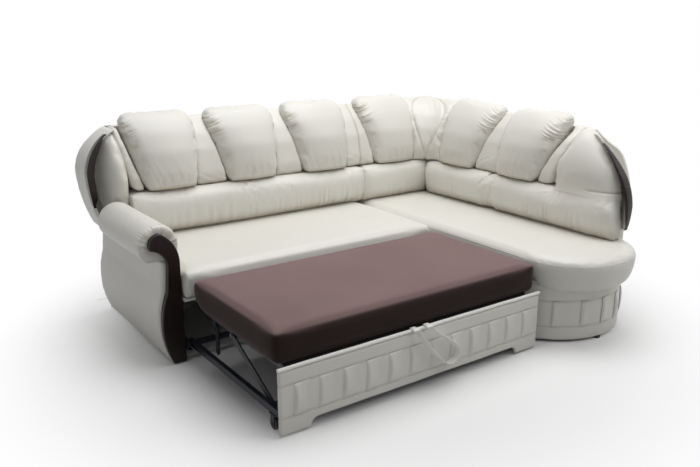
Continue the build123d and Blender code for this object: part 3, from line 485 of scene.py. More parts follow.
# painted sheen: where face-up cloth starts to be painted lighter, and its smoothing rounds
sheenTopLook = {"from": 0.45, "reach": 0.45, "rounds": 4}


# painted shade: how hollow the surface is at each point, with the painted seam shade that a piece may add
def creaseShadeLayer(mesh, seam):
    points = readPoints(mesh)
    edges = readEdges(mesh)
    span = numpy.linalg.norm(points[edges[:, 0]] - points[edges[:, 1]], axis=1).mean()
    hollow = ((neighbourMean(points, edges) - points) * readNormals(mesh)).sum(axis=1) / span
    values = smoothValues(numpy.clip(hollow * creaseShadeLook["strength"], 0.0, 1.0), edges, creaseShadeLook["rounds"])
    if seam:
        values = numpy.maximum(values, [seam(Vector(point)) for point in points])
    pointLayer(mesh, "paintedCreaseShade", values)


# painted sheen mask: where the cloth lies face up, to paint its top lighter
def sheenTopLayer(mesh):
    values = numpy.clip((readNormals(mesh)[:, 2] - sheenTopLook["from"]) / sheenTopLook["reach"], 0.0, 1.0)
    pointLayer(mesh, "paintedTopSheen", smoothValues(values, readEdges(mesh), sheenTopLook["rounds"]))


def runStuffing():
    bpy.context.view_layer.update()
    for step in range(1, simFrames + 1):
        scene.frame_set(step)
    for entry in softQueue:
        piece, spec = entry["piece"], entry["spec"]
        if piece.modifiers:
            applied(piece)
        mesh = piece.data
        move = readPoints(mesh) - entry["start"]
        length = numpy.maximum(numpy.linalg.norm(move, axis=1), leastMove)
        writePoints(mesh, entry["start"] + move * numpy.minimum(1.0, spec["cap"] / length)[:, None])
        if spec.get("fine"):
            finer = piece.modifiers.new("finer", "SUBSURF")
            finer.levels = 1
            finer.render_levels = 1
            applied(piece)
            mesh = piece.data
        lift = [spec["folds"](vert.co, vert.normal) for vert in mesh.vertices]
        writePoints(mesh, readPoints(mesh) + readNormals(mesh) * numpy.array(lift)[:, None])
        # painted shade in the hollows of every cover
        creaseShadeLayer(mesh, spec.get("seam"))
        # painted sheen on the mattress's face-up top
        if spec.get("slot") == "brown_fabric":
            sheenTopLayer(mesh)
        finishPiece(piece, entry["body"], entry["solids"])
    scene.frame_set(1)
    print("stuffing done,", len(softQueue), "pieces")


def fade(value, low, high):  # 1 at low, 0 at high
    share = min(1.0, max(0.0, (value - low) / (high - low)))
    return 1.0 - share * share * (3 - 2 * share)


gatherLook = {"wobble": 1.6, "wobbleStep": 0.6, "swing": 0.55, "swingSpread": 0.45, "swingStep": 0.35,
              "swingSeed": 7.0}


def gather(along, spacing, seed):  # irregular folds along a seam, about -1 to 1
    look = gatherLook
    wobble = noise.noise(Vector((along / spacing * look["wobbleStep"], seed, 0.0))) * look["wobble"]
    uneven = noise.noise(Vector((along / spacing * look["swingStep"], look["swingSeed"], seed)))
    swing = look["swing"] + look["swingSpread"] * uneven
    return math.sin((along / spacing + wobble) * 2 * math.pi) * swing


def swell(co, pitch, seed):  # broad unevenness of the stuffing, about -1 to 1
    return noise.noise(Vector((co.x / pitch, co.y / pitch, co.z / pitch + seed)))


def groove(distance, width):  # 1 on a seam, falling off over its width
    return math.exp(-(distance / width) ** 2)


# folds that are only broad unevenness
def swellFolds(pitch, seed, height):
    return lambda co, normal: swell(co, pitch, seed) * height


# seam shade at a piece's foot: its strength and the heights it fades between
def footShade(foot, shade):
    strength, near, far = shade
    return lambda co: strength * fade(co[2], foot + near, foot + far)


# shared moves of the back's covers: the seam over the lumbar rolls sits lower towards the corner,
# and the return's top line falls towards its free end
backLook = {"seamDrop": 0.020, "seamSlope": 0.0088, "seamFrom": -0.96, "endDrop": 0.028, "endFrom": 0.62,
            "endReach": 0.42, "tipDrop": 0.030, "tipFrom": -0.25, "tipReach": 0.35, "rollFrom": 0.7,
            "rollReach": 0.3}


def seamDrop(co):
    return backLook["seamDrop"] + backLook["seamSlope"] * (co[0] - backLook["seamFrom"])


def endDrop(co):
    slope = 1 - fade(backLook["endFrom"] - co[1], 0.0, backLook["endReach"])
    tip = 1 - fade(backLook["tipFrom"] - co[1], 0.0, backLook["tipReach"])
    return backLook["endDrop"] * slope + backLook["tipDrop"] * tip


def rollBack(depth, height):
    return depth * max(0.0, (height - backLook["rollFrom"]) / backLook["rollReach"]) ** 2


# moves a cover's four corners along its row, lowers its top by drop and rolls the top back
def flareShift(nodeName, axis, flare):
    low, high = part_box(nodeName)
    rear = 1 - axis

    def shift(co):
        side = (co[axis] - low[axis]) / (high[axis] - low[axis])
        height = (co[2] - low[2]) / (high[2] - low[2])
        foot = flare["outerFoot"] + (flare["innerFoot"] - flare["outerFoot"]) * side
        top = flare["outerTop"] + (flare["innerTop"] - flare["outerTop"]) * side
        front = (high[rear] - co[rear]) / (high[rear] - low[rear])
        move = Vector((0.0, 0.0, 0.0))
        move[axis] = foot * (1 - height) + top * height
        move[rear] = rollBack(flare["roll"], height) * front
        move[2] = -seamDrop(co) * (1 - height) - (endDrop(co) + flare["drop"]) * height
        return move
    return shift


# headrests: small pulls at the outer upper corner, soft drapes above the lower seam
headrestSpec = {
    "voxel": 0.009, "rounds": 5, "inset": 0.004, "pressure": 5.0, "slack": 0.02, "cap": 0.014, "fill": 0.75,
    "fine": True, "unevenness": 0.0016, "swellPitch": 0.2, "shade": (0.55, 0.004, 0.03), "rearFacing": 0.75,
    "footHeld": 0.022, "pulls": 0.0034, "pullPitch": 0.024, "pullLean": 0.5, "pullSide": (0.55, 0.86),
    "pullFrom": (0.52, 0.78), "pullTo": (0.86, 1.0), "drapes": 0.0017, "drapePitch": 0.060, "drapeSeed": 1.7,
    "drapeLean": 0.25, "leanSpread": 0.2, "drapeTo": (0.04, 0.62), "drapeFrom": (-0.02, 0.05),
    "drapeSide": (0.70, 0.95),
}
headrestFlare = (
    {"outerFoot": 0.038, "innerFoot": 0.025, "outerTop": -0.012, "innerTop": 0.030, "drop": 0.0, "roll": 0.0},
    {"outerFoot": 0.050, "innerFoot": 0.027, "outerTop": -0.035, "innerTop": 0.0, "drop": 0.0, "roll": 0.0},
)
firstFlare = dict(headrestFlare[0], outerFoot=0.058, outerTop=0.004)


def addHeadrest(nodeName, axis, seed, flare):
    low, high = (list(corner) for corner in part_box(nodeName))
    reshape = flareShift(nodeName, axis, flare)
    low[2] -= seamDrop(low)
    high[2] -= endDrop(low)
    rear = 1 - axis
    middle = (low[axis] + high[axis]) / 2
    half = (high[axis] - low[axis]) / 2
    tall = high[2] - low[2]
    spec = dict(headrestSpec)

    def folds(co, normal):
        side = (co[axis] - middle) / half
        height = (co[2] - low[2]) / tall
        corner = (1 - fade(-side, *spec["pullSide"])) * (1 - fade(height, *spec["pullFrom"]))
        corner = corner * fade(height, *spec["pullTo"])
        pulls = gather(co[2] - spec["pullLean"] * co[axis], spec["pullPitch"], seed) * corner * spec["pulls"]
        lower = fade(height, *spec["drapeTo"]) * (1 - fade(height, *spec["drapeFrom"]))
        lower = lower * fade(abs(side), *spec["drapeSide"])
        slant = co[axis] + (spec["drapeLean"] + spec["leanSpread"] * math.sin(seed)) * co[2]
        drapes = gather(slant, spec["drapePitch"], seed * spec["drapeSeed"]) * lower * spec["drapes"]
        return pulls + drapes + swell(co, spec["swellPitch"], seed) * spec["unevenness"]

    def pinned(co, normal):
        return normal[rear] > spec["rearFacing"] or co[2] < low[2] + spec["footHeld"]

    spec.update(pinned=pinned, folds=folds, seam=footShade(low[2], spec["shade"]))
    softPiece("cushion_" + nodeName, [nodeName], spec, reshape=reshape)


longHeadrests = ("long_headrest_1", "long_headrest_2", "long_headrest_3", "corner_headrest")
for index, nodeName in enumerate(longHeadrests):
    addHeadrest(nodeName, 0, 3.1 * index + 1, headrestFlare[0] if index else firstFlare)
for index, nodeName in enumerate(("return_headrest_1", "return_headrest_2")):
    addHeadrest(nodeName, 1, 2.3 * index + 17, headrestFlare[1])

# flat strips between the headrests, a little slack; the third holds the seam between the two modules
stripSpec = {
    "voxel": 0.008, "rounds": 16, "inset": 0.0, "pressure": 0, "cap": 0.008, "fill": 0.5, "fine": True,
    "unevenness": 0.0020, "swellPitch": 0.16, "shade": (0.5, 0.004, 0.03), "groove": 0.007,
    "grooveWidth": 0.007, "drapes": 0.0022, "drapePitch": 0.06, "drapeLean": 0.5, "drapeReach": 0.14,
}
stripFlare = {"outerFoot": 0.025, "innerFoot": 0.038, "outerTop": 0.0, "innerTop": 0.0, "drop": 0.024,
              "roll": 0.055}
leftFlare = {"outerFoot": -0.050, "innerFoot": 0.062, "outerTop": -0.014, "innerTop": 0.020, "drop": -0.036,
             "roll": 0.03}
returnFlare = dict(stripFlare, innerFoot=0.050, innerTop=-0.020)
endFlare = dict(stripFlare, outerFoot=0.036, innerFoot=0.050, outerTop=-0.055, innerTop=-0.035, drop=0.044)


def addStrip(nodeName, axis, seed, flare, grooveAt=None):
    low = list(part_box(nodeName)[0])
    reshape = flareShift(nodeName, axis, flare)
    low[2] -= seamDrop(low)
    spec = dict(stripSpec)

    def folds(co, normal):
        near = fade(co[2], low[2], low[2] + spec["drapeReach"])
        slant = co[2] + spec["drapeLean"] * co[axis]
        drapes = gather(slant, spec["drapePitch"], seed) * near * spec["drapes"]
        cut = 0.0
        if grooveAt is not None:
            cut = spec["groove"] * groove(co[axis] - grooveAt, spec["grooveWidth"])
        return drapes + swell(co, spec["swellPitch"], seed) * spec["unevenness"] - cut

    spec.update(folds=folds, seam=footShade(low[2], spec["shade"]))
    softPiece("strip_" + nodeName, [nodeName], spec, reshape=reshape)


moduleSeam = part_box("return_base_left")[0][0]
addStrip("left_spacer", 0, 2.0, leftFlare)
addStrip("long_spacer_1", 0, 7.3, stripFlare)
addStrip("long_spacer_2", 0, 12.6, stripFlare)
addStrip("long_spacer_3", 0, 23.0, stripFlare, moduleSeam)
addStrip("return_spacer_1", 1, 31.0, returnFlare)
addStrip("return_spacer_2", 1, 35.1, endFlare)

# lumbar rolls: upright gathers from the lower seam and some long pulls from the upper one
lumbarSpec = {
    "voxel": 0.008, "rounds": 2, "inset": 0.003, "pressure": 4.0, "slack": 0.02, "cap": 0.010, "fill": 0.7,
    "fine": True, "unevenness": 0.0022, "swellPitch": 0.14, "topPitch": 0.16, "shade": (0.45, 0.01, 0.07),
    "rearFacing": 0.7, "gathers": 0.0140, "pitch": 0.058, "lean": 0.10, "least": 0.12, "strength": 0.35,
    "strengthSpread": 0.85, "strengthStep": 2.4, "strengthSeed": 3.3, "upper": (0.45, 0.95),
    "upperPitch": 1.7, "upperSeed": 5, "upperShare": 0.5,
    "lower": (0.10, 0.75), "edge": 0.8, "edgeReach": (0.5, 0.40),
}


def lumbarFolds(axis, seed, spec, low, high):
    def folds(co, normal):
        height = (co[2] - low) / (high - low)
        cut = spec["cut"](co) if "cut" in spec else 0.0
        if height > 1.0:
            return swell(co, spec["topPitch"], seed) * spec["unevenness"] - cut
        uneven = noise.noise(Vector((co[axis] * spec["strengthStep"], seed, spec["strengthSeed"])))
        strength = max(spec["least"], spec["strength"] + spec["strengthSpread"] * uneven)
        slant = co[axis] + spec["lean"] * co[2]
        pulls = gather(slant, spec["upperPitch"] * spec["pitch"], seed + spec["upperSeed"])
        upper = (1 - fade(height, *spec["upper"])) * pulls * spec["upperShare"]
        lower = fade(height, *spec["lower"]) * gather(slant, spec["pitch"], seed)
        edge = 1 - spec["edge"] * fade(abs(height - 0.5), *spec["edgeReach"])
        gathers = (upper + lower) * strength * edge * spec["gathers"]
        return gathers + swell(co, spec["swellPitch"], seed) * spec["unevenness"] - cut
    return folds


# a roll's top goes down with the seam; what stands on it goes down to the return's top line
def rollShift(solids):
    low, high = (corner[2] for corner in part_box(solids[0]))
    top = max(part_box(nodeName)[1][2] for nodeName in solids)

    def shift(co):
        if co[2] <= high:
            return Vector((0, 0, -seamDrop(co) * (1 - fade(co[2], (low + high) / 2, high))))
        height = (co[2] - high) / max(top - high, joinLook["leastTall"])
        side = min(1.0, max(0.0, (co[1] - pillowFree) / (pillowEdge - pillowFree)))
        along = side * (joinLook["footEdge"] * (1 - height) + joinLook["topEdge"] * height)
        start = min(1.0, height * joinLook["startSlope"])
        return Vector((0, along * start, -seamDrop(co) * (1 - height) - endDrop(co) * height))
    return shift


def addLumbar(name, solids, axis, seed, extra=(), shifts=()):
    low, high = (corner[2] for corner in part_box(solids[0]))
    high -= seamDrop(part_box(solids[0])[0])
    spec = dict(lumbarSpec)
    spec.update(extra)
    spec["pinned"] = lambda co, normal: normal[1 - axis] > spec["rearFacing"]
    spec["folds"] = lumbarFolds(axis, seed, spec, low, high)
    spec["seam"] = footShade(low, spec["shade"])
    softPiece(name, solids, spec, shifts=shifts, reshape=rollShift(solids))


# the return's two rolls and its end pillow are one cover: a slanted seam joins the rolls,
# and a short one ends the pillow
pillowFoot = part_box("return_end_pillow")[0][2]
pillowFree, pillowEdge = (corner[1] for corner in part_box("return_end_pillow"))
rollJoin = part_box("return_lumbar")[1][1]
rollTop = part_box("return_lumbar")[1][2]
joinLook = {
    "overlap": 0.014, "reach": 0.15, "rounds": 150, "slant": 0.6, "slantFrom": (-0.12, -0.05), "seam": 0.005,
    "seamWidth": 0.006, "seamLength": 0.20, "seamFull": 0.7, "seamRise": -0.012, "footEdge": 0.030,
    "topEdge": -0.055, "startSlope": 8, "leastTall": 0.001, "crown": 0.82, "crownReach": 0.08,
    "insideFrom": 0.02, "nearJoin": 0.05, "rollOverlap": 0.012,
}


def joinMask(points):
    near = 1 - numpy.clip(numpy.abs(points[:, 2] - pillowFoot) / joinLook["reach"], 0, 1)
    inside = numpy.clip((pillowEdge + joinLook["insideFrom"] - points[:, 1]) / joinLook["nearJoin"], 0, 1)
    rolls = 1 - numpy.clip(numpy.abs(points[:, 1] - rollJoin) / joinLook["nearJoin"], 0, 1)
    crown = numpy.clip((points[:, 2] - joinLook["crown"]) / joinLook["crownReach"], 0, 1)
    return numpy.maximum(numpy.maximum(near * inside, crown), rolls * (points[:, 2] < rollTop))


def returnSeams(co):
    lean = rollJoin + joinLook["slant"] * (rollTop - co.z)
    start, end = (rollTop + height for height in joinLook["slantFrom"])
    slanted = groove(co.y - lean, joinLook["seamWidth"]) * (1 - fade(co.z, start, end))
    short = groove(co.z - pillowFoot - joinLook["seamRise"], joinLook["seamWidth"])
    length = joinLook["seamLength"]
    short *= fade(co.y, pillowFree + joinLook["seamFull"] * length, pillowFree + length)
    return joinLook["seam"] * max(slanted, short)


def pillowOverlap(co):
    return 0, 0, -joinLook["overlap"] * fade(co.z, pillowFoot, pillowFoot + joinLook["nearJoin"])


def rollOverlap(co):
    return 0, -joinLook["rollOverlap"] * fade(co.y, rollJoin, rollJoin + joinLook["nearJoin"]), 0


returnExtra = {"voxel": 0.0088, "gathers": 0.007, "blend": joinMask, "blendRounds": joinLook["rounds"],
               "cut": returnSeams}
addLumbar("lumbar_return", ["return_lumbar", "return_corner_lumbar", "return_end_pillow"], 1, 21.0,
          returnExtra, {"return_end_pillow": pillowOverlap, "return_corner_lumbar": rollOverlap})
addLumbar("lumbar_long", ["long_lumbar"], 0, 1.0)
addLumbar("lumbar_corner", ["corner_lumbar"], 0, 9.0, {"gathers": 0.005})

# left end pillow and the wedge in the corner
pillowSpec = {"voxel": 0.009, "rounds": 9, "inset": 0.003, "pressure": 5.0, "slack": 0.02, "cap": 0.014,
              "fill": 0.8, "fine": True, "unevenness": 0.0018, "swellPitch": 0.15, "rearFacing": 0.7,
              "cornerFacing": 0.8, "leftSeed": 4.0, "wedgeSeed": 12.0}
leftLow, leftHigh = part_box("left_end_pillow")
leftLook = {"rise": 0.030, "riseFrom": 0.12, "outerEdge": 0.040, "slope": 0.075}
wedgeLow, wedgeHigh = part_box("corner_wedge")
wedgeLook = {"middle": math.radians(47.5), "footHalf": math.radians(14.3), "topHalf": math.radians(28.5),
             "radius": 0.30, "curve": 0.8, "groove": 0.006, "grooveWidth": 0.008, "drop": 0.020,
             "tuck": 0.014, "tuckReach": 0.07, "roll": 0.035}


def wedgeHeight(co):
    return min(1.0, max(0.0, (co[2] - wedgeLow[2]) / (wedgeHigh[2] - wedgeLow[2])))


# two seams in the wedge, from its lowest point out to both upper corners
def wedgeFolds(co, normal):
    turn = math.atan2(wedgeHigh[1] - co.y, wedgeHigh[0] - co.x)
    height = wedgeHeight(co)
    half = wedgeLook["footHalf"] + (wedgeLook["topHalf"] - wedgeLook["footHalf"]) * height
    gap = (abs(turn - wedgeLook["middle"]) - half * height ** wedgeLook["curve"]) * wedgeLook["radius"]
    seams = wedgeLook["groove"] * groove(gap, wedgeLook["grooveWidth"])
    return swell(co, pillowSpec["swellPitch"], pillowSpec["wedgeSeed"]) * pillowSpec["unevenness"] - seams


# the wedge's ends tuck in beside the headrests and its top rolls back
def wedgeShift(co):
    height = wedgeHeight(co)
    front = sum((wedgeHigh[axis] - co[axis]) / (wedgeHigh[axis] - wedgeLow[axis]) for axis in (0, 1))
    roll = rollBack(wedgeLook["roll"], height) * min(1.0, front)
    tuck = [wedgeLook["tuck"] * fade(co[axis], wedgeLow[axis], wedgeLow[axis] + wedgeLook["tuckReach"])
            for axis in (0, 1)]
    down = seamDrop(co) * (1 - height) + (endDrop(co) + wedgeLook["drop"]) * height
    return Vector((roll + tuck[0], roll + tuck[1], -down))


# the left pillow's outer edge leans in and back, and its top rises
def leftShift(co):
    side = (co[0] - leftLow[0]) / (leftHigh[0] - leftLow[0])
    rise = leftLook["rise"] * (1 - fade(co[2], leftHigh[2] - leftLook["riseFrom"], leftHigh[2]))
    front = (leftHigh[1] - co[1]) / (leftHigh[1] - leftLow[1])
    back = leftLook["slope"] * max(0.0, 1 - side) ** 2 * front
    return Vector((leftLook["outerEdge"] * (1 - side), back, rise))


leftSpec = dict(pillowSpec, pinned=lambda co, normal: normal.y > pillowSpec["rearFacing"],
                folds=swellFolds(pillowSpec["swellPitch"], pillowSpec["leftSeed"], pillowSpec["unevenness"]))
softPiece("pillow_left_end", ["left_end_pillow"], leftSpec, reshape=leftShift)
wedgeSpec = dict(pillowSpec, pinned=lambda co, normal: max(normal.x, normal.y) > pillowSpec["cornerFacing"],
                 folds=wedgeFolds)
softPiece("pillow_corner", ["corner_wedge"], wedgeSpec, reshape=wedgeShift)

# seats and the mattress: taut, flat underneath
underFacing = -0.7


def heldUnder(co, normal):
    return normal.z < underFacing


seatSpec = {"voxel": 0.012, "rounds": 3, "inset": 0.002, "pressure": 2.0, "slack": 0.0, "cap": 0.006,
            "fill": 0.9, "fine": True, "pinned": heldUnder,
            "folds": swellFolds(pitch=0.35, seed=2.0, height=0.0010)}
softPiece("seat_long", ["long_seat_cushion"], seatSpec)

# the return seat's front roll hangs down over the bent base
baseLow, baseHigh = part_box("return_base_front")
baseHalf, baseBow = (baseHigh[0] - baseLow[0]) / 2, baseHigh[1] - baseLow[1]
bowRadius = (baseHalf ** 2 + baseBow ** 2) / (2 * baseBow)
bowMiddle = Vector(((baseLow[0] + baseHigh[0]) / 2, baseLow[1] + bowRadius, 0))
rimLook = {"drop": 0.040, "clear": -0.014, "reach": 0.022, "foot": 0.02, "height": 0.10, "side": 0.10}
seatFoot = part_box("return_seat_cushion")[0][2]


def rimShift(co):
    beyond = (Vector((co.x, co.y, 0)) - bowMiddle).length - bowRadius
    outside = 1 - fade(beyond, rimLook["clear"], rimLook["clear"] + rimLook["reach"])
    outside *= fade(co.y, baseHigh[1] - rimLook["side"], baseHigh[1])
    low = fade(co.z, seatFoot + rimLook["foot"], seatFoot + rimLook["height"])
    return Vector((0, 0, -rimLook["drop"] * outside * low))


softPiece("seat_return", ["return_seat_cushion"], seatSpec, reshape=rimShift)

mattressSpec = dict(seatSpec, voxel=0.0096, rounds=1, cap=0.005, slot="brown_fabric",
                    folds=swellFolds(pitch=0.35, seed=5.0, height=0.0010))
softPiece("mattress_cover", ["mattress"], mattressSpec, body="platform", material=microfibre)

# arm: padded side and the scroll roll, with pulls round its front
armSpec = {"voxel": 0.009, "rounds": 3, "inset": 0.001, "pressure": 0, "cap": 0.006, "fill": 0.6,
           "folds": swellFolds(pitch=0.30, seed=1.0, height=0.0010)}
softPiece("arm_side_cover", ["arm_side"], armSpec)

rollSpec = {"voxel": 0.008, "rounds": 5, "inset": 0.001, "pressure": 0, "cap": 0.008, "fill": 0.6,
            "fine": True, "pulls": 0.0026, "pullPitch": 0.26, "reach": 0.11,
            "above": (-0.04, 0.03), "unevenness": 0.0012,
            "swellPitch": 0.2, "pullSeed": 3.0, "swellSeed": 6.0}
rollLow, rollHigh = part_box("arm_roll")
rollRadius = (rollHigh[0] - rollLow[0]) / 2


def rollFolds(co, normal):
    centre = rollHigh[2] - rollRadius
    around = math.atan2(co.z - centre, co.x - (rollLow[0] + rollRadius))
    near = fade(co.y, rollLow[1], rollLow[1] + rollSpec["reach"])
    above = 1 - fade(co.z, centre + rollSpec["above"][0], centre + rollSpec["above"][1])
    pulls = gather(around, rollSpec["pullPitch"], rollSpec["pullSeed"]) * near * above * rollSpec["pulls"]
    return pulls + swell(co, rollSpec["swellPitch"], rollSpec["swellSeed"]) * rollSpec["unevenness"]


rollSpec["folds"] = rollFolds
softPiece("arm_roll_cover", ["arm_roll"], rollSpec)

# wrapped fronts: the drawer's panel and the return's bent base, sewn in three bands
bandLow, bandHigh = (corner[2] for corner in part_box("panel_pleats"))
bandSpec = {"voxel": 0.007, "rounds": 2, "inset": 0.0012, "pressure": 0, "cap": 0.004, "fill": 0.4,
            "fine": True, "groove": 0.0022, "grooveWidth": 0.004, "unevenness": 0.0012,
            "swellPitch": 0.12, "swellSeed": 3.0}


def bandFolds(co, normal):
    cut = sum(groove(co.z - height, bandSpec["grooveWidth"]) for height in (bandLow, bandHigh))
    uneven = swell(co, bandSpec["swellPitch"], bandSpec["swellSeed"]) * bandSpec["unevenness"]
    return uneven - cut * bandSpec["groove"]


bandSpec["folds"] = bandFolds
softPiece("panel_cover", ["front_panel"], bandSpec, body="drawer")
softPiece("return_base_cover", ["return_base_front"], bandSpec)
stripCover = {"voxel": 0.008, "rounds": 3, "inset": 0.001, "pressure": 0, "cap": 0.004, "fill": 0.4,
              "fine": True, "folds": swellFolds(pitch=0.18, seed=9.0, height=0.0012)}

# the tops of the back's boards and rear panels go down with the covers
wrapLook = {"step": 0.10, "from": 0.80, "to": 0.985, "drop": 0.022, "heights": (0.80, 0.85, 0.90, 0.94, 0.97)}


def wrapDrop(co):
    return -wrapLook["drop"] * (1 - fade(co[2], wrapLook["from"], wrapLook["to"]))


softPiece("back_strip_left", ["left_back_strip"], stripCover, reshape=lambda co: Vector((0, 0, wrapDrop(co))))

# the return's end strip narrows and falls behind the wooden trim, and goes down with the top line
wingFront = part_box("return_back_strip")[0][0]
wingLook = {"narrow": 0.79, "fall": 0.20, "from": 0.60, "to": 0.95}


def wingDrop(co):
    return -endDrop(co) * (1 - fade(co[2], wingLook["from"], wingLook["to"]))


def wingShift(co):
    behind = max(0.0, co.x - wingFront)
    fall = wingLook["fall"] * behind * (1 - fade(co.z, wingLook["from"], wingLook["to"]))
    return Vector((0, wingLook["narrow"] * behind, wingDrop(co) - fall))


softPiece("back_strip_return", ["return_back_strip"], stripCover, reshape=wingShift)
runStuffing()


# geometry node trees: named inputs, realised, with a material set at the end
def startTree(name, inputs):
    return newGroup(name, "GeometryNodeTree",
                    [("Geometry", "Geometry", None), *inputs, ("Finish", "Material", None)],
                    [("Geometry", "Geometry")])


def endTree(tree, source, sink, geometry):
    real = put(tree, "GeometryNodeRealizeInstances", {"Geometry": geometry})
    paint = put(tree, "GeometryNodeSetMaterial", {"Geometry": real.outputs["Geometry"],
                                                  "Material": source["Finish"]})
    feed(tree, sink, {"Geometry": paint.outputs["Geometry"]})
    return tree


def onPoints(tree, points, instance, **sockets):
    spread = put(tree, "GeometryNodeInstanceOnPoints", {"Points": points, "Instance": instance, **sockets})
    return spread.outputs["Instances"]


def runTree(name, tree, mesh, values):
    piece = bpy.data.objects.new(name, mesh)
    scene.collection.objects.link(piece)
    grow = piece.modifiers.new("grow", "NODES")
    grow.node_group = tree
    for item in tree.interface.items_tree:
        if item.in_out == "INPUT" and item.name in values:
            grow[item.identifier] = values[item.name]
    applied(piece)
    return piece


pleatLook = {"leastRise": 0.8, "mostRise": 1.15, "seed": 4}
randomLow, randomHigh, randomValue = 2, 3, 1  # the number sockets of a random value node


# rows of pleats: one flap on each point, turned with it and bent to the base under it,
# where it falls by half its bend times the square of its place along the row
def makePleatTree(look):
    tree, source, sink = startTree("knifePleats", [("Flap", "Object", None), ("Bend", "Float", 0.0),
                                                   ("Seed", "Int", look["seed"])])
    flap = put(tree, "GeometryNodeObjectInfo", {"Object": source["Flap"]})
    place = put(tree, "GeometryNodeInputPosition")
    parts = put(tree, "ShaderNodeSeparateXYZ", {"Vector": place.outputs["Position"]})
    square = mathNode(tree, "MULTIPLY", parts.outputs["X"], parts.outputs["X"])
    drop = mathNode(tree, "MULTIPLY", mathNode(tree, "MULTIPLY", square, source["Bend"]), -0.5)
    shift = put(tree, "ShaderNodeCombineXYZ", {"Z": drop})
    bent = put(tree, "GeometryNodeSetPosition", {"Geometry": flap.outputs["Geometry"],
                                                 "Offset": shift.outputs["Vector"]})
    turn = put(tree, "GeometryNodeInputNamedAttribute", {"Name": "turn"}, data_type="FLOAT_VECTOR")
    rise = put(tree, "FunctionNodeRandomValue", {randomLow: look["leastRise"], randomHigh: look["mostRise"],
                                                 "Seed": source["Seed"]}, data_type="FLOAT")
    size = put(tree, "ShaderNodeCombineXYZ", {"X": 1.0, "Y": 1.0, "Z": rise.outputs[randomValue]})
    flaps = onPoints(tree, source["Geometry"], bent.outputs["Geometry"], Rotation=turn.outputs["Attribute"],
                     Scale=size.outputs["Vector"])
    return endTree(tree, source, sink, flaps)


stitchLook = {"spacing": 0.0065, "length": 0.0046, "thickness": 0.0006, "rearThickness": 0.0009,
              "offset": 0.005, "sides": 5, "sunk": 0.4, "cast": 0.6}


# stitches along a line: short rounded pieces of thread
def makeStitchTree(look):
    tree, source, sink = startTree("stitchRow", [("Spacing", "Float", look["spacing"]),
                                                 ("Length", "Float", look["length"]),
                                                 ("Thickness", "Float", look["thickness"])])
    path = put(tree, "GeometryNodeMeshToCurve", {"Mesh": source["Geometry"]})
    spots = put(tree, "GeometryNodeResampleCurve", mode="LENGTH")
    feed(tree, spots, {"Curve": path.outputs["Curve"], "Length": source["Spacing"]})
    stitch = put(tree, "GeometryNodeMeshCylinder", {"Vertices": look["sides"], "Radius": source["Thickness"],
                                                    "Depth": source["Length"]})
    along = put(tree, "GeometryNodeInputTangent")
    aim = put(tree, "FunctionNodeAlignRotationToVector", {"Vector": along.outputs["Tangent"]}, axis="Z")
    row = onPoints(tree, spots.outputs["Curve"], stitch.outputs["Mesh"], Rotation=aim.outputs["Rotation"])
    return endTree(tree, source, sink, row)


weltLook = {"sides": 12, "radius": 0.002, "steps": 68, "wave": 0.0010, "wavePitch": 9, "waveSeed": 2.0,
            "seatRadius": 0.0022, "seatSunk": 0.4, "seatDrop": 0.030, "seatSteps": 90, "cast": 2.0}


# piping: a round cord under leather, along a line
def makeWeltTree(look):
    tree, source, sink = startTree("sewnWelt", [("Radius", "Float", look["radius"])])
    path = put(tree, "GeometryNodeMeshToCurve", {"Mesh": source["Geometry"]})
    ring = put(tree, "GeometryNodeCurvePrimitiveCircle", {"Resolution": look["sides"],
                                                          "Radius": source["Radius"]})
    tube = put(tree, "GeometryNodeCurveToMesh", {"Fill Caps": True, "Curve": path.outputs["Curve"],
                                                 "Profile Curve": ring.outputs["Curve"]})
    return endTree(tree, source, sink, tube.outputs["Mesh"])


boltLook = {"radius": 0.0085, "height": 0.005, "sides": 6, "sunk": 0.4}


# bolt heads: a six-sided head on each point, turned to face along x
def makeBoltTree(look):
    tree, source, sink = startTree("boltHeads", [("Radius", "Float", look["radius"]),
                                                 ("Height", "Float", look["height"])])
    head = put(tree, "GeometryNodeMeshCylinder", {"Vertices": look["sides"], "Radius": source["Radius"],
                                                  "Depth": source["Height"]})
    aim = put(tree, "FunctionNodeEulerToRotation", {"Euler": (0, math.pi / 2, 0)})
    heads = onPoints(tree, source["Geometry"], head.outputs["Mesh"], Rotation=aim.outputs["Rotation"])
    return endTree(tree, source, sink, heads)


pleatTree = makePleatTree(pleatLook)
stitchTree = makeStitchTree(stitchLook)
weltTree = makeWeltTree(weltLook)
boltTree = makeBoltTree(boltLook)


def lineMesh(rows):
    mesh = bpy.data.meshes.new("line")
    points, edges = [], []
    for row in rows:
        first = len(points)
        points.extend(row)
        edges.extend((first + index, first + index + 1) for index in range(len(row) - 1))
    mesh.from_pydata(points, edges, [])
    return mesh


flapLook = {"width": 0.072, "rise": 0.0095, "fold": 0.16, "across": 20, "upright": 14, "back": 0.0012,
            "opening": 0.7, "crowding": 1.6, "fall": 1.7, "lean": 0.004, "leanTurn": 2.2}


# how far the flap stands out, from its fold at 0 to its flat edge at 1
def flapLift(look, along):
    if along < look["fold"]:
        return math.sin(along / look["fold"] * math.pi / 2)
    return (1 - (along - look["fold"]) / (1 - look["fold"])) ** look["fall"]


def gridRim(grid):
    return grid[0] + [line[-1] for line in grid[1:]] + grid[-1][-2::-1] + [line[0] for line in grid[-2:0:-1]]


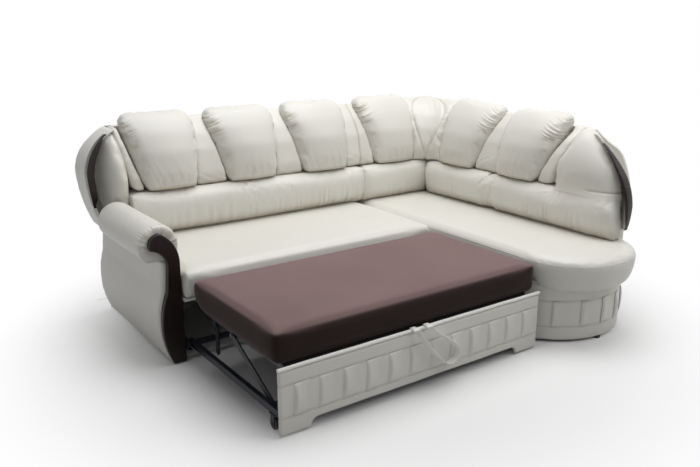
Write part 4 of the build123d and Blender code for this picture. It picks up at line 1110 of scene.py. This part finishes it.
# one pleat lying flat: x along the row, y up it, z out of the cloth
def flapMesh(look, tall):
    grid = []
    for row in range(look["upright"] + 1):
        height = row / look["upright"]
        opening = math.sin(math.pi * height) ** look["opening"]
        line = []
        for column in range(look["across"] + 1):
            along = (column / look["across"]) ** look["crowding"]
            lean = look["lean"] * math.sin(look["leanTurn"] * height) * (1 - along)
            out = flapLift(look, along) * look["rise"] * opening
            line.append(((along - 0.5) * look["width"] + lean, (height - 0.5) * tall, out))
        grid.append(line)
    work = bmesh.new()
    front = [[work.verts.new(spot) for spot in line] for line in grid]
    rear = [[work.verts.new((spot[0], spot[1], -look["back"])) for spot in line] for line in grid]
    for row in range(look["upright"]):
        for column in range(look["across"]):
            a, b = front[row], front[row + 1]
            work.faces.new((a[column], a[column + 1], b[column + 1], b[column]))
            a, b = rear[row], rear[row + 1]
            work.faces.new((a[column], b[column], b[column + 1], a[column + 1]))
    rim, under = gridRim(front), gridRim(rear)
    for index in range(len(rim)):
        after = (index + 1) % len(rim)
        work.faces.new((rim[index], under[index], under[after], rim[after]))
    bmesh.ops.recalc_face_normals(work, faces=work.faces)
    return asMesh(work, "flap")


# the separate flaps of a CAD node: centre and direction of each
def flapPlaces(nodeName):
    work = mergedNode(nodeName)
    places = []
    left = set(work.verts)
    while left:
        island, edge = [], [left.pop()]
        while edge:
            vert = edge.pop()
            island.append(vert.co.copy())
            for link in vert.link_edges:
                other = link.other_vert(vert)
                if other in left:
                    left.discard(other)
                    edge.append(other)
        spots = numpy.array(island)
        flat = spots[:, :2] - spots[:, :2].mean(axis=0)
        along = numpy.linalg.svd(flat, full_matrices=False)[2][0]
        if along[0] < 0:
            along = -along
        places.append((spots.mean(axis=0), math.atan2(along[1], along[0])))
    work.free()
    return sorted(places, key=lambda place: place[0][0])


def surfaceOf(pieceName):
    mesh = bpy.data.objects[pieceName].data
    points = [vert.co for vert in mesh.vertices]
    return BVHTree.FromPolygons(points, [face.vertices for face in mesh.polygons])


flapSource = bpy.data.objects.new("flapSource", flapMesh(flapLook, bandHigh - bandLow))
sewLook = {"cast": 0.1, "clear": 0.0003, "baseRadius": 0.36}


def addPleats(name, nodeName, carrier, body, bend):
    skin = surfaceOf(carrier)
    points, turns = [], []
    for centre, angle in flapPlaces(nodeName):
        out = Vector((math.sin(angle), -math.cos(angle), 0))
        spot = skin.ray_cast(Vector(centre) + out * sewLook["cast"], -out)[0]
        points.append(spot + out * sewLook["clear"])
        turns.extend((math.pi / 2, 0, angle))
    mesh = bpy.data.meshes.new("pleatSpots")
    mesh.from_pydata(points, [], [])
    mesh.attributes.new("turn", "FLOAT_VECTOR", "POINT").data.foreach_set("vector", turns)
    values = {"Flap": flapSource, "Bend": bend, "Seed": pleatLook["seed"], "Finish": plainLeather}
    finishPiece(runTree(name, pleatTree, mesh, values), body, [nodeName])


addPleats("pleats_panel", "panel_pleats", "panel_cover", "drawer", 0.0)
addPleats("pleats_base", "return_base_pleats", "return_base_cover", "sofa", 1 / sewLook["baseRadius"])
bpy.data.objects.remove(flapSource)
print("pleats sewn")

# seams: stitches over and under the pleats, on the panel and round the base
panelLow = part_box("front_panel")[0]
panelSkin = surfaceOf("panel_cover")
baseSkin = surfaceOf("return_base_cover")
baseMiddle = Vector(((baseLow[0] + baseHigh[0]) / 2, baseHigh[1], 0))
rowLook = {"panelInset": 0.012, "panelStep": 0.02, "panelCount": 68, "baseSteps": 60, "baseMargin": 0.06,
           "baseRadius": 0.4}


def castRow(skin, starts, out):
    row = []
    for start in starts:
        hit = skin.ray_cast(start + out(start) * stitchLook["cast"], -out(start))[0]
        if hit is not None:
            row.append(hit + out(start) * stitchLook["thickness"] * stitchLook["sunk"])
    return row


def panelRow(height):
    first = panelLow[0] + rowLook["panelInset"]
    starts = [Vector((first + step * rowLook["panelStep"], panelLow[1], height))
              for step in range(rowLook["panelCount"])]
    return castRow(panelSkin, starts, lambda start: Vector((0, -1, 0)))


def baseOut(start):
    return (Vector((start.x, start.y, 0)) - baseMiddle).normalized()


def baseRow(height):
    starts = []
    margin, radius = rowLook["baseMargin"], rowLook["baseRadius"]
    for step in range(rowLook["baseSteps"] + 1):
        angle = math.pi + margin + step / rowLook["baseSteps"] * (math.pi - 2 * margin)
        starts.append(baseMiddle + Vector((radius * math.cos(angle), radius * math.sin(angle), height)))
    return castRow(baseSkin, starts, baseOut)


stitchValues = {"Spacing": stitchLook["spacing"], "Length": stitchLook["length"],
                "Thickness": stitchLook["thickness"], "Finish": thread}


def sewRows(name, rows, body, values=stitchValues):
    finishPiece(runTree(name, stitchTree, lineMesh(rows), values), body)


def sewWelt(name, line, radius, finish, body, replaced=()):
    piece = runTree(name, weltTree, lineMesh([line]), {"Radius": radius, "Finish": finish})
    finishPiece(piece, body, replaced)


seamHeights = (bandLow - stitchLook["offset"], bandHigh + stitchLook["offset"])
sewRows("stitches_panel", [panelRow(z) for z in seamHeights], "drawer")
sewRows("stitches_base", [baseRow(z) for z in seamHeights], "sofa")

# piping on the panel's top edge, and the seam round the top of the return's seat
pipeLow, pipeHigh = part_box("panel_piping")
pipeLine = []
for step in range(weltLook["steps"] + 1):
    x = pipeLow[0] + (pipeHigh[0] - pipeLow[0]) * step / weltLook["steps"]
    wave = noise.noise(Vector((x * weltLook["wavePitch"], weltLook["waveSeed"], 0.0))) * weltLook["wave"]
    pipeLine.append((x, (pipeLow[1] + pipeHigh[1]) / 2 + wave, (pipeLow[2] + pipeHigh[2]) / 2 + wave))
sewWelt("piping_panel", pipeLine, (pipeHigh[2] - pipeLow[2]) / 2, pipingLitLeather, "drawer", ["panel_piping"])

seatSkin = surfaceOf("seat_return")
seatLow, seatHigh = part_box("return_seat_cushion")
seatMiddle = Vector(((seatLow[0] + seatHigh[0]) / 2, (seatLow[1] + 2 * seatHigh[1]) / 3,
                     seatHigh[2] - weltLook["seatDrop"]))
seatLine = []
for step in range(weltLook["seatSteps"] + 1):
    angle = math.pi + step / weltLook["seatSteps"] * math.pi
    out = Vector((math.cos(angle), math.sin(angle), 0))
    hit = seatSkin.ray_cast(seatMiddle + out * weltLook["cast"], -out)[0]
    seatLine.append(hit - out * weltLook["seatRadius"] * weltLook["seatSunk"])
sewWelt("seam_return_seat", seatLine, weltLook["seatRadius"], plainLeather, "sofa")
print("seams and piping sewn")

# bolt heads on the lift arms' pivots, outside each arm
armLow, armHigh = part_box("lift_arms")
joints = {row["name"]: row for row in record["behaviour"]["joints"]}
boltSpots = []
for jointName in ("lift_swing", "platform_level"):
    y, z = joints[jointName]["pos_m"][1:]
    boltSpots.append((armLow[0] - boltLook["height"] * boltLook["sunk"], y, z))
    boltSpots.append((armHigh[0] + boltLook["height"] * boltLook["sunk"], y, z))
boltMesh = bpy.data.meshes.new("boltSpots")
boltMesh.from_pydata(boltSpots, [], [])
bolts = runTree("bolts_lift", boltTree, boltMesh, {"Radius": boltLook["radius"], "Height": boltLook["height"],
                                                   "Finish": boltSteel})
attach(bolts, "lift")

# pull strap: one ribbon of webbing, flat over the piping and on edge round its loop
strapLow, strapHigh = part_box("pull_strap")
strapLook = {"width": 0.026, "thickness": 0.0030, "spread": 0.070, "steps": 90, "edge": math.radians(58),
             "turnOn": (0.07, 0.24), "turnOff": (0.76, 0.93), "square": 0.96, "soft": 0.6}
strapTop = strapHigh[2] - strapLook["thickness"] / 2
strapLeft = strapLow[0] + strapLook["width"] / 2
strapRight = strapLeft + strapLook["spread"]
tabRear = strapHigh[1]
strapFace = strapLow[1] + strapLook["width"] / 2
strapFoot = strapLow[2] + strapLook["thickness"] / 2
strapEnd = strapHigh[0] - strapLook["thickness"] / 2
strapRoute = [
    (strapLeft, tabRear, strapTop),
    (strapLeft, tabRear - 0.012, strapTop),
    (strapLeft, strapFace + 0.006, strapTop - 0.001),
    (strapLeft + 0.004, strapFace, strapTop - 0.012),
    (strapLeft + 0.060, strapFace, strapFoot + 0.098),
    (strapLeft + 0.128, strapFace, strapFoot + 0.018),
    (strapEnd - 0.055, strapFace, strapFoot - 0.012),
    (strapEnd + 0.004, strapFace, strapFoot + 0.018),
    (strapEnd - 0.010, strapFace, strapFoot + 0.066),
    (strapRight + 0.065, strapFace, strapFoot + 0.128),
    (strapRight + 0.004, strapFace, strapTop - 0.012),
    (strapRight, strapFace + 0.006, strapTop - 0.001),
    (strapRight, tabRear - 0.012, strapTop),
    (strapRight, tabRear, strapTop),
]


def splinePoints(route, steps):
    curve = bpy.data.curves.new("route", "CURVE")
    curve.dimensions = "3D"
    curve.resolution_u = steps // len(route)
    spline = curve.splines.new("NURBS")
    spline.points.add(len(route) - 1)
    for point, spot in zip(spline.points, route):
        point.co = (*spot, 1)
    spline.order_u = 3
    spline.use_endpoint_u = True
    holder = bpy.data.objects.new("route", curve)
    mesh = bpy.data.meshes.new_from_object(holder)
    points = [vert.co.copy() for vert in mesh.vertices]
    bpy.data.objects.remove(holder)
    bpy.data.curves.remove(curve)
    bpy.data.meshes.remove(mesh)
    return points


# a flat band with eased edges along the points, its width turned by acrossAt
def ribbonMesh(points, look, acrossAt):
    square, soft = look["square"], look["soft"]
    profile = ((-1, -soft), (-square, -1), (square, -1), (1, -soft),
               (1, soft), (square, 1), (-square, 1), (-1, soft))
    work = bmesh.new()
    rings = []
    for index, spot in enumerate(points):
        ahead = points[min(index + 1, len(points) - 1)] - points[max(index - 1, 0)]
        ahead.normalize()
        across = acrossAt(index / (len(points) - 1))
        across = (across - ahead * across.dot(ahead)).normalized()
        out = ahead.cross(across)
        ring = []
        for side, face in profile:
            wide = across * side * look["width"] / 2
            thick = out * face * look["thickness"] / 2
            ring.append(work.verts.new(spot + wide + thick))
        rings.append(ring)
    for before, after in zip(rings, rings[1:]):
        for index in range(len(profile)):
            other = (index + 1) % len(profile)
            work.faces.new((before[index], before[other], after[other], after[index]))
    work.faces.new(rings[0][::-1])
    work.faces.new(rings[-1])
    bmesh.ops.recalc_face_normals(work, faces=work.faces)
    return asMesh(work, "ribbon")


def strapAcross(share):  # flat at both ends, turned towards its edge between
    turn = strapLook["edge"] * (1 - fade(share, *strapLook["turnOn"])) * fade(share, *strapLook["turnOff"])
    return Vector((math.cos(turn), -math.sin(turn), 0))


strapPoints = splinePoints(strapRoute, strapLook["steps"])
strap = meshObject("strap_webbing", ribbonMesh(strapPoints, strapLook, strapAcross), webbing)
finishPiece(strap, "strap", ["pull_strap"])
print("strap and bolts made")


# cuts a piece's mesh along planes and moves its points with a function of the work mesh
def cutAndMove(piece, cuts, move):
    work = bmesh.new()
    work.from_mesh(piece.data)
    for spot, facing in cuts:
        shell = work.verts[:] + work.edges[:] + work.faces[:]
        bmesh.ops.bisect_plane(work, geom=shell, plane_co=spot, plane_no=facing)
    move(work)
    work.to_mesh(piece.data)
    work.free()


# wooden trims: the CAD band, drawn to slim ends and rounded
trimLook = {"levels": 24, "bevel": 0.007, "segments": 3, "angle": math.radians(50), "merge": 0.0001,
            "level": 0.004, "depthLeast": 0.35, "depthShare": 0.65}
leftTrim = {"power": 5.0, "tip": 0.35, "wide": 1.7}
returnTrim = {"power": 2.2, "tip": 0.16, "wide": 1.0}


def addTrim(name, nodeName, along, look, down):
    low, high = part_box(nodeName)
    depth = 1 - along
    tall = high[2] - low[2]
    piece = meshObject(name, copySolids([nodeName]), darkWood)

    def levelOf(vert):
        return round(vert.co.z / trimLook["level"])

    def slimEnds(work):
        bmesh.ops.dissolve_degenerate(work, edges=work.edges, dist=trimLook["merge"])
        spans = {}
        for vert in work.verts:
            spans.setdefault(levelOf(vert), []).append(vert.co[along])
        for vert in work.verts:
            share = (vert.co.z - low[2]) / tall
            slim = max(look["tip"], 1 - abs(2 * share - 1) ** look["power"])
            outer = min(spans[levelOf(vert)])
            vert.co[along] = outer + (vert.co[along] - outer) * slim * look["wide"]
            inward = (high[depth] - vert.co[depth]) * (trimLook["depthLeast"] + trimLook["depthShare"] * slim)
            vert.co[depth] = high[depth] - inward
        for vert in work.verts:
            vert.co.z += down(vert.co)

    levels = [low[2] + tall * level / trimLook["levels"] for level in range(1, trimLook["levels"])]
    cutAndMove(piece, [((0, 0, z), (0, 0, 1)) for z in levels], slimEnds)
    edges = piece.modifiers.new("edges", "BEVEL")
    edges.width = trimLook["bevel"]
    edges.segments = trimLook["segments"]
    edges.limit_method = "ANGLE"
    edges.angle_limit = trimLook["angle"]
    applied(piece)
    finishPiece(piece, "sofa", [nodeName])


addTrim("trim_left", "left_back_trim", 0, leftTrim, lambda co: 0.0)
addTrim("trim_return", "return_back_trim", 1, returnTrim, wingDrop)


def lowerTops(work):
    for vert in work.verts:
        vert.co.z += wrapDrop(vert.co) * (1 + endDrop(vert.co) / wrapLook["drop"])


# the back's boards, rails, rear panels and uprights, with their tops lowered
def addWrap(nodeName, material):
    low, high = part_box(nodeName)
    piece = meshObject("wrap_" + nodeName, copySolids([nodeName]), material)
    cuts = [((0, 0, z), (0, 0, 1)) for z in wrapLook["heights"]]
    for step in range(1, int((high[1] - low[1]) / wrapLook["step"]) + 1):
        cuts.append(((0, low[1] + step * wrapLook["step"], 0), (0, 1, 0)))
    cutAndMove(piece, cuts, lowerTops)
    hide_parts(nodeName)
    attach(piece, "sofa")


wrapNames = ("long_back_boards", "return_back_board", "back_top_rails", "long_rear_panel",
             "return_rear_panel")
for nodeName in wrapNames:
    addWrap(nodeName, plainLeather)
addWrap("back_uprights", timber)

# rear seams: upright stitched joins and a hem on both rear panels
rearLook = {"inset": 0.035, "hem": 0.06, "top": 0.93, "returnFall": 0.03, "step": 0.02,
            "longJoins": (-0.40, 0.42), "returnJoins": (0.12,)}
rearLong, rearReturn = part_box("long_rear_panel"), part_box("return_rear_panel")
rearY, rearX = rearLong[1][1], rearReturn[1][0]


def straightRow(first, last):
    count = int((Vector(last) - Vector(first)).length / rearLook["step"])
    return [Vector(first).lerp(Vector(last), index / count) for index in range(count + 1)]


hem, inset = rearLook["hem"], rearLook["inset"]
returnTop = rearLook["top"] - rearLook["returnFall"]
rearRows = [straightRow((x, rearY, hem), (x, rearY, rearLook["top"])) for x in rearLook["longJoins"]]
rearRows += [straightRow((rearX, y, hem), (rearX, y, returnTop)) for y in rearLook["returnJoins"]]
rearRows.append(straightRow((rearLong[0][0] + inset, rearY, hem), (rearLong[1][0] - inset, rearY, hem)))
rearRows.append(straightRow((rearX, rearReturn[0][1] + inset, hem), (rearX, rearReturn[1][1] - inset, hem)))
sewRows("stitches_rear", rearRows, "sofa", dict(stitchValues, Thickness=stitchLook["rearThickness"]))
print("trims and back shaped")

# floor that keeps the shadow and turns white away from the sofa
floorLook = {"colour": (0.90, 0.90, 0.90, 1), "bounce": (0.52, 0.52, 0.52, 1), "near": 0.95, "far": 1.9,
             "half": 30.0, "rough": 0.8, "specular": 0.1}


# 1 for rays that the viewer sees, 0 for rays that only carry light
def backgroundRay(tree):
    path = put(tree, "ShaderNodeLightPath")
    seen = mathNode(tree, "ADD", path.outputs["Is Camera Ray"], path.outputs["Is Glossy Ray"])
    total = mathNode(tree, "ADD", seen, path.outputs["Is Transmission Ray"])
    return mathNode(tree, "MINIMUM", total, 1.0)


def makeFloor(look):
    material, tree, shader = startMaterial("paleFloor")
    feed(tree, shader, {
        "Base Color": mixColour(tree, backgroundRay(tree), look["bounce"], look["colour"]),
        "Roughness": look["rough"], "Specular IOR Level": look["specular"]})
    span = put(tree, "ShaderNodeVectorMath", {0: objectPlace(tree)}, operation="LENGTH")
    white = put(tree, "ShaderNodeMapRange", interpolation_type="SMOOTHSTEP")
    feed(tree, white, {"From Min": look["near"], "From Max": look["far"], "Value": span.outputs["Value"]})
    glow = put(tree, "ShaderNodeEmission")
    share = mathNode(tree, "MULTIPLY", white.outputs["Result"], backgroundRay(tree))
    mix = put(tree, "ShaderNodeMixShader", {"Fac": share, 1: shader.outputs["BSDF"],
                                            2: glow.outputs["Emission"]})
    feed(tree, tree.nodes["Material Output"], {"Surface": mix.outputs["Shader"]})
    return material


floorMesh = bpy.data.meshes.new("floor")
reach = floorLook["half"]
floorCorners = [(-reach, -reach, 0), (reach, -reach, 0), (reach, reach, 0), (-reach, reach, 0)]
floorMesh.from_pydata(floorCorners, [], [(0, 1, 2, 3)])
floor = meshObject("floor", floorMesh, makeFloor(floorLook))

worldLook = {"colour": (1, 1, 1, 1), "light": 0.26, "seen": 1.0}
world = bpy.data.worlds.new("softRoom")
scene.world = world
world.use_nodes = True
worldTree = world.node_tree
roomLight = worldTree.nodes["Background"]
feed(worldTree, roomLight, {"Color": worldLook["colour"], "Strength": worldLook["light"]})
roomSeen = put(worldTree, "ShaderNodeBackground", {"Color": worldLook["colour"],
                                                   "Strength": worldLook["seen"]})
roomMix = put(worldTree, "ShaderNodeMixShader", {
    "Fac": backgroundRay(worldTree), 1: roomLight.outputs["Background"], 2: roomSeen.outputs["Background"]})
feed(worldTree, worldTree.nodes["World Output"], {"Surface": roomMix.outputs["Shader"]})

lampLook = {
    "key": {"place": (2.2, -2.6, 3.6), "aim": (0, 0.0, 0.4), "size": 2.4, "power": 42},
    "fill": {"place": (-3.2, -2.6, 2.4), "aim": (0, 0, 0.4), "size": 3.0, "power": 1.5},
    "top": {"place": (0.4, 0.2, 4.0), "aim": (0.1, 0.2, 0), "size": 3.0, "power": 105},
}
for title, look in lampLook.items():
    lamp = bpy.data.lights.new(title + "Lamp", "AREA")
    lamp.shape = "SQUARE"
    lamp.size = look["size"]
    lamp.energy = look["power"]
    holder = bpy.data.objects.new(title + "Lamp", lamp)
    holder.location = look["place"]
    holder.rotation_euler = (Vector(look["aim"]) - Vector(look["place"])).to_track_quat("-Z", "Y").to_euler()
    scene.collection.objects.link(holder)

view = {"place": (-2.1291, -2.8090, 1.4517), "turn": (74.17, 0.0, -35.42), "lens": 38.09, "sensor": 36.0}
camera = bpy.data.objects.new("camera", bpy.data.cameras.new("camera"))
camera.location = view["place"]
camera.rotation_euler = [math.radians(angle) for angle in view["turn"]]
camera.data.sensor_width = view["sensor"]
camera.data.lens = view["lens"]
scene.collection.objects.link(camera)
scene.camera = camera
print("stage lit")
